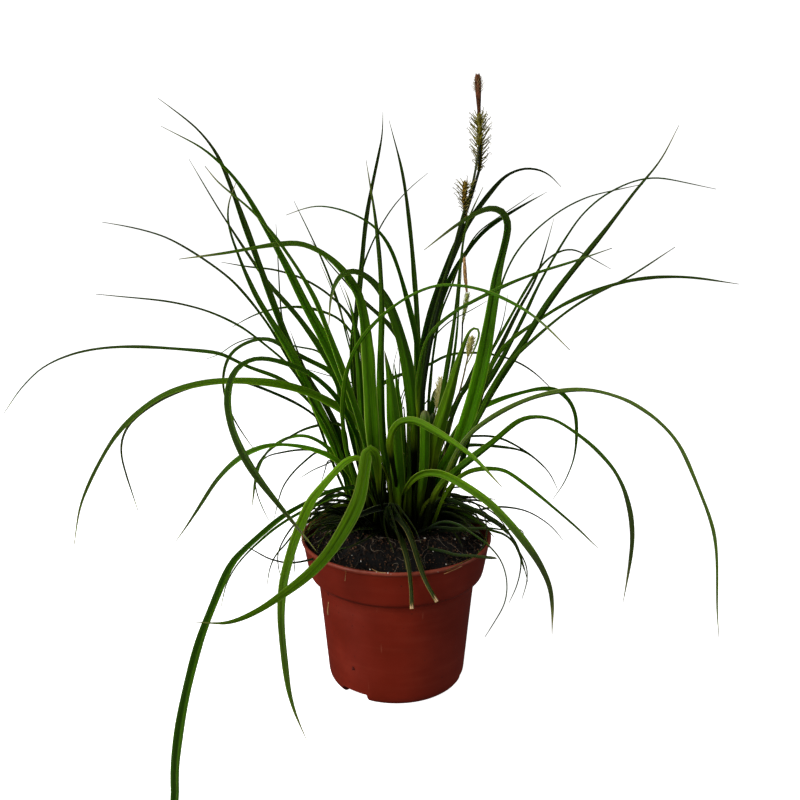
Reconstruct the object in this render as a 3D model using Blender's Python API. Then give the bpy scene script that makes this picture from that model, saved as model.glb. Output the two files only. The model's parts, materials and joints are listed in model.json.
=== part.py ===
"""A clump of ornamental sedge in flower, in a round plastic nursery pot.

Run with: blender --background --python part.py. Units are metres and +Z is up. The origin is on the pot's
axis at the foot, and the front of the plant looks along -Y. Every leaf, stalk, flower spike, the soil and
the pot is an object of its own.

Each leaf follows the line on which it is seen from the front: the viewer's place is given below, and a leaf's
record lists picture points from crown to tip, with how far the leaf reaches towards the viewer. Leaves that
would touch are then eased apart along the line of sight, as springy leaves push each other aside.
"""

import math
from dataclasses import dataclass

import bmesh
import bpy
import numpy as np

MM = 0.001

# The view from the front: a pinhole at VIEWER (mm) that looks down by VIEW_PITCH, on a picture 800 by 800.
VIEWER = np.array([2.3, -620.0, 354.0])
VIEW_PITCH = math.radians(15.25)
FOCAL_LENGTH = 1050.0
PICTURE_CENTRE = 400.0
SIGHT = np.array([0.0, math.cos(VIEW_PITCH), -math.sin(VIEW_PITCH)])
SIGHT_UP = np.array([0.0, math.sin(VIEW_PITCH), math.cos(VIEW_PITCH)])

# Pot, in mm
POT_HEIGHT = 97.4
RIM_RADIUS = 60.0
SHOULDER_RADIUS = 55.9
BODY_TOP_RADIUS = 49.8
BODY_TOP_Z = 69.2
BODY_FOOT_RADIUS = 43.9
FOOT_RADIUS = 38.0
FOOT_CURVE_Z = 7.0
WALL = 1.2
FLOOR_THICK = 1.4
POT_SIDES = 44
NOTCHES = 3
NOTCH_RADIUS = 12.0
NOTCH_HEIGHT = 4.0
NOTCH_BEARING = math.radians(-125.0)

# Soil, in mm
CLEARANCE = 0.3
SOIL_EDGE_Z = 91.0
SOIL_EDGE_RADIUS = 56.3
CROWN_Z = 104.0
CROWN_RADIUS = 30.0
SOIL_SIDES = 32
SOIL_RIPPLE = 0.7

# Leaves and stalks, in mm
ROOT_REACH = 26.5
ROOT_SPACING = 5.7
BASE_WIDTH_SHARE = 0.62
BASE_WIDTH_MOST = 3.8
BLADE_THICK = 0.5
KEEL_SHARE = 0.28
BEND_TOLERANCE = 0.36
SPACE_BETWEEN = 0.9
ROUTE_STEP_PX = 4.0
ROUTE_SMOOTH_PX = 5.0
EASE_ROUNDS = 160
EASE_SPREAD = 5.0
EASE_LEAN = 0.3
SETTLE_LENGTH = 16.0
FLOOR_REST_Z = 0.15

COLOURS = {
    "pot_plastic": ("#6E2A1C", 0.42),
    "soil": ("#120D0A", 0.95),
    "mid_leaf": ("#3C7F1E", 0.45),
    "lime_leaf": ("#6AA52A", 0.42),
    "deep_leaf": ("#22401A", 0.5),
    "olive_leaf": ("#5E6B26", 0.5),
    "stalk": ("#4A5A22", 0.55),
    "male_spike": ("#5A2A1C", 0.8),
    "female_spike": ("#7D7222", 0.8),
    "faded_spike": ("#A68C5A", 0.85),
}


@dataclass
class Leaf:
    """wide: the blade's greatest width in mm.
    root: where it leaves the crown, (x, toward) in mm, with toward counted from the axis to the viewer.
    reach, half_reach: toward at the tip and half way.
    face: how far the blade is turned from facing the viewer, in degrees, at its base, middle and tip.
    seen: picture points from crown to tip; a point of three numbers is a place (x, toward, z) in mm.
    cut: for a torn leaf, the share of its width left at the end.
    """

    name: str
    wide: float
    root: tuple
    reach: float
    face: tuple
    tint: str
    seen: tuple
    half_reach: float = None
    cut: float = 0.0


@dataclass
class Stalk:
    """A round stalk: radius in mm, then as in Leaf. spike: length and radius of a spike grown on its end."""

    name: str
    radius: float
    root: tuple
    reach: float
    tint: str
    seen: tuple
    half_reach: float = None
    spike: tuple = None


@dataclass
class Spike:
    """A flower spike on a stalk: its radii in mm from base to top.

    beside is how far it stands in front of the stalk's end, at its base and at its top.
    """

    name: str
    stalk: str
    radii: tuple
    tint: str
    seen: tuple
    beside: tuple = (0.0, 0.0)


LEAVES = [
    # High on the left
    Leaf("left_high_1", 4.4, (-20, -7), -45, (20, 35, 50), "deep_leaf",
         ((340, 449), (298, 366), (268, 290), (250, 240), (235, 200), (219, 159), (199, 131), (158, 98))),
    Leaf("left_high_2", 7.4, (-13, 8), 35, (0, 15, 45), "mid_leaf",
         ((352, 405), (330, 351), (307, 308), (282, 258), (262, 222), (245, 193), (227, 170), (200, 147),
          (161, 126))),
    Leaf("left_high_3", 4.6, (-9, 13), 75, (30, 45, 60), "lime_leaf",
         ((362, 430), (343, 373), (330, 338), (315, 300), (286, 252), (258, 217), (240, 200), (218, 182),
          (205, 166))),
    Leaf("left_high_4", 3.8, (-17, -15), -90, (15, 35, 50), "deep_leaf",
         ((345, 400), (330, 365), (300, 320), (268, 283), (245, 250), (228, 224), (213, 200), (189, 159))),
    Leaf("left_high_5", 4.2, (-23, -2), -15, (10, 30, 60), "mid_leaf",
         ((345, 470), (320, 415), (300, 370), (283, 340), (258, 300), (238, 255), (228, 222), (229, 202),
          (236, 183))),
    Leaf("left_high_6", 3.4, (-25, -12), -70, (30, 50, 55), "deep_leaf",
         ((336, 455), (312, 402), (290, 363), (270, 328), (250, 301), (230, 279), (200, 257), (165, 237),
          (130, 227), (102, 222))),
    Leaf("left_high_7", 8.0, (-10, 15), 65, (5, 30, 62), "lime_leaf",
         ((372, 430), (369, 380), (366, 340), (360, 300), (349, 279), (328, 257), (300, 244), (268, 246),
          (220, 254), (179, 259))),
    Leaf("left_high_8", 3.4, (-13, -18), -115, (30, 45, 55), "deep_leaf",
         ((366, 380), (353, 322), (330, 296), (303, 279), (275, 270), (250, 267), (221, 262))),
    Leaf("left_high_9", 3.0, (-26, 1), 15, (40, 55, 60), "deep_leaf",
         ((333, 440), (312, 402), (291, 368), (270, 349), (241, 327), (207, 311), (181, 304), (150, 299),
          (96, 294))),
    Leaf("left_high_10", 3.2, (-15, -23), -150, (35, 50, 55), "deep_leaf",
         ((368, 400), (358, 345), (340, 320), (323, 312), (298, 307), (270, 310), (250, 317), (232, 327))),
    # Upright in the middle
    Leaf("centre_high_1", 4.4, (-8, -14), -120, (20, 30, 45), "deep_leaf",
         ((368, 440), (354, 380), (353, 340), (358, 300), (363, 250), (366, 218), (376, 165), (382, 135),
          (383, 112))),
    Leaf("centre_high_2", 5.0, (-3, 8), 80, (10, 20, 40), "mid_leaf",
         ((393, 500), (384, 449), (381, 400), (381, 350), (382, 300), (379, 250), (373, 200), (366, 160))),
    Leaf("centre_high_3", 4.4, (8, -14), -165, (20, 30, 45), "deep_leaf",
         ((415, 420), (417, 350), (416, 300), (413, 270), (411, 240), (407, 205), (402, 172), (389, 120))),
    Leaf("centre_high_4", 4.2, (9, -5), -60, (25, 45, 60), "mid_leaf",
         ((418, 380), (415, 334), (406, 300), (398, 269), (387, 243), (372, 225), (345, 211), (315, 206),
          (286, 215))),
    Leaf("centre_high_5", 7.0, (5, 4), 60, (5, 20, 70), "mid_leaf",
         ((414, 440), (410, 380), (400, 334), (388, 302), (372, 280), (354, 270), (340, 275), (332, 291),
          (329, 325))),
    Leaf("centre_high_6", 4.2, (2, -21), -135, (20, 35, 50), "deep_leaf",
         ((412, 420), (409, 360), (396, 334), (381, 317), (366, 304), (349, 286), (335, 270), (311, 241))),
    Leaf("centre_high_7", 3.0, (-6, -24), -180, (35, 45, 50), "deep_leaf",
         ((376, 420), (360, 375), (350, 350), (340, 310), (325, 267), (316, 247), (303, 219), (294, 201))),
    # High on the right
    Leaf("right_high_1", 6.4, (14, -12), -110, (20, 20, 60), "deep_leaf",
         ((419, 420), (421, 366), (434, 305), (455, 248), (468, 222), (485, 200), (505, 176), (527, 168),
          (547, 173), (561, 187))),
    Leaf("right_high_2", 8.2, (24, 4), 45, (0, 12, 60), "mid_leaf",
         ((437, 480), (459, 441), (477, 385), (489, 325), (497, 275), (505, 242), (507.5, 222), (501, 210.5),
          (489, 208.5), (475, 214.5), (447, 232), (424, 250))),
    Leaf("right_high_3", 5.6, (13, -20), -160, (20, 15, 35), "deep_leaf",
         ((418, 430), (422, 380), (433, 325), (447, 285), (463, 257), (484, 231), (513, 211), (547, 192))),
    Leaf("right_high_4", 4.2, (18, -3), -20, (15, 30, 55), "mid_leaf",
         ((433, 450), (442, 400), (450, 350), (456, 310), (460, 270), (465, 233), (473, 208), (483, 187))),
    Leaf("right_high_5", 5.6, (19, 9), 30, (5, 25, 60), "lime_leaf",
         ((432, 460), (444, 412), (455, 375), (464, 345), (472, 328), (479, 327), (478, 340), (464, 370))),
    Leaf("right_high_6", 3.6, (-7, -19), -175, (45, 55, 60), "deep_leaf",
         ((368, 420), (375, 392), (391, 379), (424, 368), (449, 355), (478, 353), (507, 358), (531, 370),
          (556, 393))),
    # Out to the right
    Leaf("right_wide_1", 4.0, (22, -9), -75, (20, 50, 65), "deep_leaf",
         ((437, 460), (455, 410), (478, 360), (495, 307), (507, 270), (522, 245), (550, 218), (585, 198),
          (643, 184))),
    Leaf("right_wide_2", 4.4, (27, -6), -110, (20, 45, 60), "deep_leaf",
         ((438, 470), (465, 420), (497, 368), (520, 325), (540, 283), (560, 248), (583, 214), (612, 191),
          (650, 178), (716, 189))),
    Leaf("right_wide_3", 5.8, (30, 1), 20, (5, 25, 50), "mid_leaf",
         ((441, 485), (460, 450), (492, 391), (522, 345), (551, 299), (581, 261), (605, 231), (638, 188),
          (660, 161),
          (679, 125))),
    Leaf("right_wide_4", 4.4, (25, -14), -150, (25, 45, 60), "deep_leaf",
         ((432, 450), (455, 405), (486, 360), (512, 315), (532, 280), (549, 258), (570, 249), (590, 257),
          (611, 269))),
    Leaf("right_wide_5", 5.6, (11, 16), 105, (10, 40, 60), "olive_leaf",
         ((419, 440), (417, 385), (428, 338), (452, 314), (489, 294), (523, 278), (560, 266), (612, 248))),
    Leaf("right_wide_6", 4.0, (32, 8), 65, (20, 45, 60), "deep_leaf",
         ((446, 480), (475, 425), (505, 368), (530, 344), (560, 317), (590, 297), (622, 281), (675, 247))),
    Leaf("right_wide_7", 5.0, (33, -2), -45, (20, 50, 62), "deep_leaf",
         ((443, 470), (470, 410), (505, 346), (530, 327), (560, 307), (590, 293), (630, 281), (680, 277),
          (739, 284))),
    Leaf("right_wide_8", 5.4, (-13, 17), 130, (20, 50, 62), "olive_leaf",
         ((345, 440), (344, 390), (354, 352), (378, 320), (405, 299), (436, 286), (469, 287), (500, 297),
          (535, 317), (570, 350))),
    # Low on the right
    Leaf("right_low_1", 5.0, (29, 8), 60, (15, 56, 50), "mid_leaf",
         ((443, 485), (465, 440), (496, 415), (539, 396), (585, 390), (625, 400), (654, 418), (676, 441),
          (696, 483),
          (714, 535), (717, 580), (717, 608), (719, 638))),
    Leaf("right_low_2", 5.0, (18, -22), -75, (20, 45, 55), "mid_leaf",
         ((440, 460), (466, 417), (490, 403), (520, 392.5), (543, 388), (557, 389.5), (567, 397),
          (575, 411), (577, 431),
          (574.5, 456), (565, 481), (553, 499))),
    Leaf("right_low_3", 5.4, (26, 13), 95, (5, 66, 25), "mid_leaf",
         ((437, 490), (461, 467), (492, 443), (521, 420), (538, 417), (555, 420), (575, 432.5), (598, 452),
          (618, 477),
          (629, 508), (632, 540), (629, 567), (623, 603))),
    Leaf("right_low_4", 3.4, (20, -22), -140, (35, 50, 60), "deep_leaf",
         ((424, 470), (438, 443), (465, 437), (495, 437), (515, 445), (533, 457), (549, 472), (558, 490))),
    Leaf("right_low_5", 4.2, (31, 14), 25, (35, 52, 55), "mid_leaf",
         ((447, 492), (460, 477), (471, 471), (487, 469), (505, 471), (522, 483), (555, 509.5), (584, 534),
          (598, 548))),
    Leaf("right_low_6", 6.0, (1, 17), 95, (15, 30, 60), "lime_leaf",
         ((396, 480), (390, 440), (398, 423), (412, 420), (436, 432), (469, 454), (502, 487))),
    Leaf("right_low_7", 6.8, (6, 21), 105, (40, 20, 40), "lime_leaf",
         ((402, 498), (415, 477), (435, 472), (464, 485), (491, 504), (518, 533), (537, 559), (549, 583),
          (552.5, 604), (552, 635))),
    # Low on the left
    Leaf("left_low_1", 3.8, (-27, -9), -35, (35, 50, 60), "deep_leaf",
         ((336, 445), (312, 405), (282, 380), (250, 368), (220, 354), (180, 350), (130, 347), (85, 351),
          (45, 366), (22, 387), (4, 413))),
    Leaf("left_low_2", 7.0, (-19, 11), 55, (10, 35, 55), "lime_leaf",
         ((366, 440), (353, 419), (325, 400), (287, 386), (240, 381), (200, 384), (160, 397), (120, 431),
          (95, 472), (80, 508), (74, 545))),
    Leaf("left_low_3", 3.6, (-25, -17), -70, (35, 55, 60), "deep_leaf",
         ((340, 455), (318, 419), (295, 403), (270, 392), (235, 380), (200, 385), (158, 402), (127, 428),
          (121, 450), (127, 477), (138, 511))),
    Leaf("left_low_4", 5.2, (-22, 5), 45, (20, 40, 55), "mid_leaf",
         ((352, 478), (336, 460), (305, 447.5), (270, 445.5), (243, 456), (219, 478), (195, 514),
          (176, 541))),
    Leaf("left_low_5", 6.0, (-10, 10), 95, (20, 48, 0), "mid_leaf",
         ((358, 440), (338, 400), (310, 374), (280, 362), (255, 359), (236, 370), (228, 395), (232, 427),
          (250, 466), (287, 514), (318, 553))),
    Leaf("left_low_6", 5.4, (-23, -8), -25, (15, 40, 55), "mid_leaf",
         ((345, 470), (328, 448), (306, 436), (285, 439), (268, 451), (258, 470), (252, 506))),
    # Over the front of the pot
    Leaf("front_1", 5.4, (-14, 20), 150, (50, 25, 25), "mid_leaf",
         ((374, 500), (356, 488), (330, 491.5), (305, 504), (281.5, 517.5), (263, 534), (246, 548),
          (232.5, 563), (221.5, 585), (211, 612), (201.5, 636), (194, 662), (187, 690), (181, 720),
          (177, 750), (175, 770), (175, 800), (-115, 166, 1.6), (-120, 190, 0.9), (-130, 214, 0.8), (-145, 235, 0.7)),
         half_reach=70),
    Leaf("front_2", 7.2, (-6, 22), 112, (75, 15, 40), "lime_leaf",
         ((372, 480), (363, 459), (350, 459), (329, 480), (312, 500), (303, 520), (295, 540), (289, 560),
          (284, 580),
          (281.5, 605), (282, 633), (285, 660), (289, 690), (295, 712), (300, 725), (307, 741))),
    Leaf("front_3", 7.4, (-1, 23), 112, (60, 15, 45), "lime_leaf",
         ((380, 500), (375, 455), (369, 447), (366, 465), (359, 500), (343, 532), (325, 558), (305, 578),
          (285, 593),
          (265, 607), (245, 617.5), (225, 623.5), (195, 622)), half_reach=64),
    Leaf("front_4", 4.2, (4, 24), 70, (30, 25, 25), "olive_leaf",
         ((392, 514), (400, 519), (410, 535), (417, 557), (425, 580), (437, 602)), half_reach=50, cut=0.55),
    Leaf("front_5", 3.2, (0, 25), 71, (30, 30, 30), "olive_leaf",
         ((394, 524), (402, 541), (408, 562), (411, 585), (412, 609)), half_reach=54, cut=0.6),
]

STALKS = [
    Stalk("flower_stalk_1", 0.95, (16, -9), 0, "stalk",
          ((420, 430), (424, 380), (436, 315), (450, 262), (462, 226), (471, 198), (477, 180),
           (479.5, 169))),
    Stalk("flower_stalk_2", 0.7, (14, -18), -95, "stalk",
          ((440, 440), (452, 400), (459, 365), (462, 340), (462.5, 322))),
    Stalk("flower_3", 0.6, (21, -5), -55, "faded_spike",
          ((440, 470), (455, 410), (465, 370), (468.5, 353), (470.5, 344), (472, 335)), spike=(13.0, 2.6)),
    Stalk("flower_4", 0.6, (10, -18), -50, "faded_spike",
          ((424, 470), (431, 430), (436, 410), (439, 393), (442, 376)), spike=(20.0, 2.5)),
]

SPIKES = [
    Spike("female_spike_1", "flower_stalk_1", (1.6, 4.6, 5.4, 5.8, 5.2, 3.2), "female_spike",
          ((479.5, 168), (480, 140), (479, 113))),
    Spike("male_spike_1", "female_spike_1", (1.2, 1.8, 2.0, 1.9, 1.6, 0.8), "male_spike",
          ((479, 112), (478.3, 92), (477.5, 73))),
    Spike("side_spike_1", "flower_stalk_1", (0.8, 2.2, 4.0, 4.6, 4.4, 2.6), "female_spike",
          ((465.5, 215), (464.5, 200), (465.5, 180)), beside=(2.1, 7.0)),
    Spike("female_spike_2", "flower_stalk_2", (1.0, 2.6, 3.2, 3.0, 2.4, 1.4), "faded_spike",
          ((463.0, 321), (465.5, 305), (468, 291))),
    Spike("male_spike_2", "female_spike_2", (0.8, 1.3, 1.4, 1.4, 1.2, 0.7), "faded_spike",
          ((466.6, 290), (465.0, 273), (464.4, 257))),
]


# --- Lines of sight ---------------------------------------------------------------------------------------


def place_on_sight(u, v, toward):
    """The point (mm) seen at picture point u, v whose distance in front of the pot's axis is toward."""
    ray = SIGHT * FOCAL_LENGTH + SIGHT_UP * (PICTURE_CENTRE - v)[..., None]
    ray = ray + np.array([1.0, 0.0, 0.0]) * (u - PICTURE_CENTRE)[..., None]
    depth = (-toward - VIEWER[1]) / ray[..., 1]
    return VIEWER + ray * depth[..., None]


def picture_point(place):
    """Where a place (mm) is seen, and how many mm one picture point covers there."""
    offset = np.asarray(place, float) - VIEWER
    depth = offset @ SIGHT
    u = PICTURE_CENTRE + FOCAL_LENGTH * offset[..., 0] / depth
    v = PICTURE_CENTRE - FOCAL_LENGTH * (offset @ SIGHT_UP) / depth
    return np.stack([u, v], -1), depth / FOCAL_LENGTH


# --- Smooth lines -----------------------------------------------------------------------------------------


def lengths_along(points):
    return np.concatenate([[0.0], np.cumsum(np.linalg.norm(np.diff(points, axis=0), axis=1))])


def curve_through(points, count_per_span=24):
    """A centripetal Catmull-Rom curve through the points."""
    points = np.asarray(points, float)
    ends = np.vstack([2 * points[0] - points[1], points, 2 * points[-1] - points[-2]])
    knots = np.concatenate([[0.0], np.cumsum(np.sqrt(np.linalg.norm(np.diff(ends, axis=0), axis=1)))])
    parts = []
    for i in range(1, len(ends) - 2):
        t = np.linspace(knots[i], knots[i + 1], count_per_span, endpoint=False)[:, None]
        k = knots[i - 1:i + 3]
        p = ends[i - 1:i + 3]
        first = [(p[j] * (k[j + 1] - t) + p[j + 1] * (t - k[j])) / (k[j + 1] - k[j]) for j in range(3)]
        second = [(first[j] * (k[j + 2] - t) + first[j + 1] * (t - k[j])) / (k[j + 2] - k[j])
                  for j in range(2)]
        parts.append((second[0] * (k[2] - t) + second[1] * (t - k[1])) / (k[2] - k[1]))
    return np.vstack(parts + [points[-1:]])


def even_samples(points, step):
    along = lengths_along(points)
    count = max(8, int(round(along[-1] / step)) + 1)
    wanted = np.linspace(0.0, along[-1], count)
    return np.stack([np.interp(wanted, along, column) for column in points.T], -1)


def smoothed(values, spread):
    """A moving Gaussian average, spread in samples, that leaves both ends where they are."""
    if spread <= 0:
        return values
    reach = int(3 * spread) + 1
    weights = np.exp(-0.5 * (np.arange(-reach, reach + 1) / spread) ** 2)
    weights /= weights.sum()
    columns = []
    for column in values.reshape(len(values), -1).T:
        before = 2 * column[0] - column[1:reach + 1][::-1]
        after = 2 * column[-1] - column[-reach - 1:-1][::-1]
        if len(before) < reach or len(after) < reach:
            return values
        columns.append(np.convolve(np.concatenate([before, column, after]), weights, "valid"))
    return np.stack(columns, -1).reshape(values.shape)


def tapering(share, stops):
    """A value read along a leaf: base, middle and tip."""
    return np.interp(share, [0.0, 0.5, 1.0], stops)


# --- Routes of leaves and stalks --------------------------------------------------------------------------


class Route:
    """One leaf's or stalk's line: its samples in the picture and how far each reaches towards the viewer."""

    def __init__(self, record, root):
        self.record = record
        self.root = np.array([root[0], -root[1], CROWN_Z + CLEARANCE])
        root_seen, _ = picture_point(self.root)
        seen = [root_seen]
        known = [(0, root[1])]
        picture_only = [point for point in record.seen if len(point) == 2]
        for index, point in enumerate(record.seen):
            if len(point) == 2:
                seen.append(np.array(point, float))
            else:
                place = np.array([point[0], -point[1], point[2]], float)
                seen.append(picture_point(place)[0])
                known.append((index + 1, point[1]))
        known.append((len(picture_only), record.reach))
        seen = np.array(seen)
        fine = curve_through(seen)
        at_points = lengths_along(fine)[::24]
        line = smoothed(even_samples(fine, 1.0), ROUTE_SMOOTH_PX)
        self.seen = even_samples(line, ROUTE_STEP_PX)
        share = lengths_along(self.seen)
        share /= share[-1]
        self.share = share
        stops = {at_points[index] / at_points[-1]: toward for index, toward in known}
        last = at_points[len(picture_only)] / at_points[-1]
        half = record.half_reach
        if half is None:
            half = root[1] + (record.reach - root[1]) * 0.4
        stops[0.5 * last] = half
        keys = sorted(stops)
        toward = np.interp(share, keys, [stops[key] for key in keys])
        spread = 0.0 if len(known) > 2 else 0.09 * len(share)
        self.toward = smoothed(toward, spread)
        self.first_toward = self.toward
        _, mm_per_px = picture_point(self.places())
        self.set_sizes(mm_per_px)

    def set_sizes(self, mm_per_px):
        record = self.record
        if isinstance(record, Stalk):
            half = stalk_radius(record, self.share * lengths_along(self.places())[-1])
            self.half_seen = half / mm_per_px
            self.half_deep = half
            return
        half = 0.5 * blade_width(record, self.share)
        turn = np.radians(tapering(self.share, record.face))
        self.half_seen = half * np.abs(np.cos(turn)) / mm_per_px
        self.half_deep = half * np.abs(np.sin(turn)) + BLADE_THICK + KEEL_SHARE * half

    def places(self):
        places = place_on_sight(self.seen[:, 0], self.seen[:, 1], self.toward)
        from_root = lengths_along(places)
        settle = np.clip(from_root / SETTLE_LENGTH, 0.0, 1.0)[:, None]
        return places + (1 - settle) * (self.root - places[0])


def blade_width(record, share):
    """A sedge blade widens from its base to a third of its length, then tapers to a fine point."""
    base = min(BASE_WIDTH_SHARE * record.wide, BASE_WIDTH_MOST)
    rising = base + (record.wide - base) * np.clip(share / 0.28, 0, 1) ** 0.8
    falling = np.clip((1.0 - share) / 0.62, 0, 1) ** 0.85
    if record.cut:
        falling = np.maximum(falling, record.cut)
    return np.minimum(rising, record.wide * falling)


def stalk_radius(record, along):
    """A stalk keeps its radius, up to the spike that swells at its end."""
    if record.spike is None:
        return np.full(len(along), record.radius)
    length, most = record.spike
    share = np.clip((along - along[-1] + length) / length, 0, 1)
    swell = np.sin(math.pi * share ** 0.8) ** 0.7
    return record.radius * (1 - 0.5 * (share > 0.99)) + (most - record.radius) * swell


def spread_roots(records):
    """Moves the roots apart on the crown, each as little as it can."""
    roots = np.array([record.root for record in records], float)
    for _ in range(400):
        offsets = roots[:, None] - roots[None]
        gaps = np.linalg.norm(offsets, axis=2) + np.eye(len(roots)) * 1e3
        short = np.clip(ROOT_SPACING - gaps, 0, None)
        push = (offsets / gaps[..., None] * short[..., None]).sum(axis=1) * 0.35
        roots += push
        reach = np.linalg.norm(roots, axis=1)
        roots *= np.minimum(1.0, ROOT_REACH / np.maximum(reach, 1e-6))[:, None]
    return roots


def crossings(routes):
    """Every pair of samples of two routes that cover each other in the picture, in groups by crossing."""
    groups = []
    for i, one in enumerate(routes):
        for j in range(i + 1, len(routes)):
            other = routes[j]
            apart = np.linalg.norm(one.seen[:, None] - other.seen[None], axis=2)
            room = one.half_seen[:, None] + other.half_seen[None] + 1.5 + 0.5 * ROUTE_STEP_PX
            a, b = np.nonzero(apart < room)
            if len(a) == 0:
                continue
            order = np.argsort(a, kind="stable")
            a, b = a[order], b[order]
            breaks = np.nonzero(np.diff(a) > 3)[0] + 1
            for part_a, part_b in zip(np.split(a, breaks), np.split(b, breaks)):
                groups.append((i, j, part_a, part_b))
    return groups


def bump(push, spread):
    """Spreads each push smoothly to its neighbours at full height."""
    index = np.arange(len(push))
    fall = np.exp(-0.5 * ((index[:, None] - index[None]) / spread) ** 2)
    up = (np.clip(push, 0, None)[None] * fall).max(axis=1)
    down = (np.clip(push, None, 0)[None] * fall).min(axis=1)
    return up + down


def ease_apart(routes):
    """Moves leaves along the line of sight until those that cross in the picture pass clear of each other."""
    groups = crossings(routes)
    sides = []
    for i, j, a, b in groups:
        difference = (routes[i].toward[a] - routes[j].toward[b]).mean()
        sides.append(1.0 if difference >= 0 else -1.0)
    free = [EASE_LEAN * lengths_along(route.places()) for route in routes]
    for _ in range(EASE_ROUNDS):
        most = [np.zeros(len(route.share)) for route in routes]
        least = [np.zeros(len(route.share)) for route in routes]
        worst = 0.0
        for (i, j, a, b), side in zip(groups, sides):
            need = routes[i].half_deep[a] + routes[j].half_deep[b] + SPACE_BETWEEN
            lack = need - side * (routes[i].toward[a] - routes[j].toward[b])
            lack = np.clip(lack, 0, None)
            if lack.max() <= 0:
                continue
            worst = max(worst, lack.max())
            for index, which, sign in ((i, a, side), (j, b, -side)):
                push = 0.5 * sign * lack
                np.maximum.at(most[index], which, push)
                np.minimum.at(least[index], which, push)
        for k, route in enumerate(routes):
            push = bump(most[k] + least[k], EASE_SPREAD)
            moved = route.toward + 0.5 * push - route.first_toward
            route.toward = route.first_toward + np.clip(moved, -free[k], free[k])
        if worst < 0.05:
            break
    for k, route in enumerate(routes):
        route.toward = smoothed(route.toward, 4.0)
    return worst


# --- Meshes -----------------------------------------------------------------------------------------------


def linear(hex_colour):
    parts = [int(hex_colour[i:i + 2], 16) / 255 for i in (1, 3, 5)]
    return [c / 12.92 if c <= 0.04045 else ((c + 0.055) / 1.055) ** 2.4 for c in parts] + [1.0]


def material(name):
    found = bpy.data.materials.get(name)
    if found:
        return found
    colour, roughness = COLOURS[name]
    made = bpy.data.materials.new(name)
    made.use_nodes = True
    shader = made.node_tree.nodes["Principled BSDF"]
    shader.inputs["Base Color"].default_value = linear(colour)
    shader.inputs["Roughness"].default_value = roughness
    shader.inputs["Metallic"].default_value = 0.0
    made.diffuse_color = linear(colour)
    return made


def add_object(name, bm, tint, smooth_angle=40):
    bmesh.ops.recalc_face_normals(bm, faces=bm.faces)
    mesh = bpy.data.meshes.new(name)
    bm.to_mesh(mesh)
    bm.free()
    mesh.materials.append(material(tint))
    mesh.shade_smooth()
    mesh.set_sharp_from_angle(angle=math.radians(smooth_angle))
    made = bpy.data.objects.new(name, mesh)
    bpy.context.scene.collection.objects.link(made)
    return made


def loft(rings, tip=None):
    """A closed body through rings of points (mm), each with the same count, ending in a tip or a cap."""
    bm = bmesh.new()
    loops = [[bm.verts.new(point * MM) for point in ring] for ring in rings]
    count = len(loops[0])
    for one, other in zip(loops, loops[1:]):
        for k in range(count):
            bm.faces.new((one[k], one[(k + 1) % count], other[(k + 1) % count], other[k]))
    if tip is None:
        bm.faces.new(loops[-1])
    else:
        end = bm.verts.new(tip * MM)
        for k in range(count):
            bm.faces.new((loops[-1][k], loops[-1][(k + 1) % count], end))
    bm.faces.new(loops[0][::-1])
    bmesh.ops.triangulate(bm, faces=[face for face in bm.faces if len(face.verts) > 3])
    return bm


def directions(places):
    ahead = np.gradient(places, axis=0)
    return ahead / np.linalg.norm(ahead, axis=1)[:, None]


def stations(line, half):
    """The fewest samples whose straight joins keep the line and its half width within BEND_TOLERANCE."""
    values = np.column_stack([line, half])
    kept = {0, len(values) - 1}
    spans = [(0, len(values) - 1)]
    while spans:
        first, last = spans.pop()
        if last - first < 2:
            continue
        share = (np.arange(first, last + 1) - first)[:, None] / (last - first)
        chord = values[first] * (1 - share) + values[last] * share
        off = np.linalg.norm(values[first:last + 1] - chord, axis=1)
        worst = first + int(off.argmax())
        if off.max() > BEND_TOLERANCE:
            kept.add(worst)
            spans += [(first, worst), (worst, last)]
    return np.array(sorted(kept))


def read_at(values, index):
    floor = np.clip(np.floor(index).astype(int), 0, len(values) - 2)
    part = (index - floor)
    part = part.reshape(part.shape + (1,) * (values.ndim - 1))
    return values[floor] * (1 - part) + values[floor + 1] * part


def blade_axes(places, ahead, turn):
    """Across and upper-side directions of a blade turned by the angle turn from facing the viewer."""
    sight = places - VIEWER
    sight /= np.linalg.norm(sight, axis=1)[:, None]
    flat = np.cross(sight, ahead)
    flat /= np.linalg.norm(flat, axis=1)[:, None]
    for k in range(1, len(flat)):
        if flat[k] @ flat[k - 1] < 0:
            flat[k] *= -1
    deep = np.cross(ahead, flat)
    across = flat * np.cos(turn)[:, None] + deep * np.sin(turn)[:, None]
    resting = np.clip(1 - places[:, 2] / 8.0, 0, 1)[:, None]
    across = across * (1 - resting * np.array([0.0, 0.0, 1.0]))
    across /= np.linalg.norm(across, axis=1)[:, None]
    out = np.cross(ahead, across)
    inward = np.array([0.0, 0.0, 0.7]) - 0.3 * places / np.linalg.norm(places, axis=1)[:, None]
    if (out * inward).sum() < 0:
        out = -out
    return across, out


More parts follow.
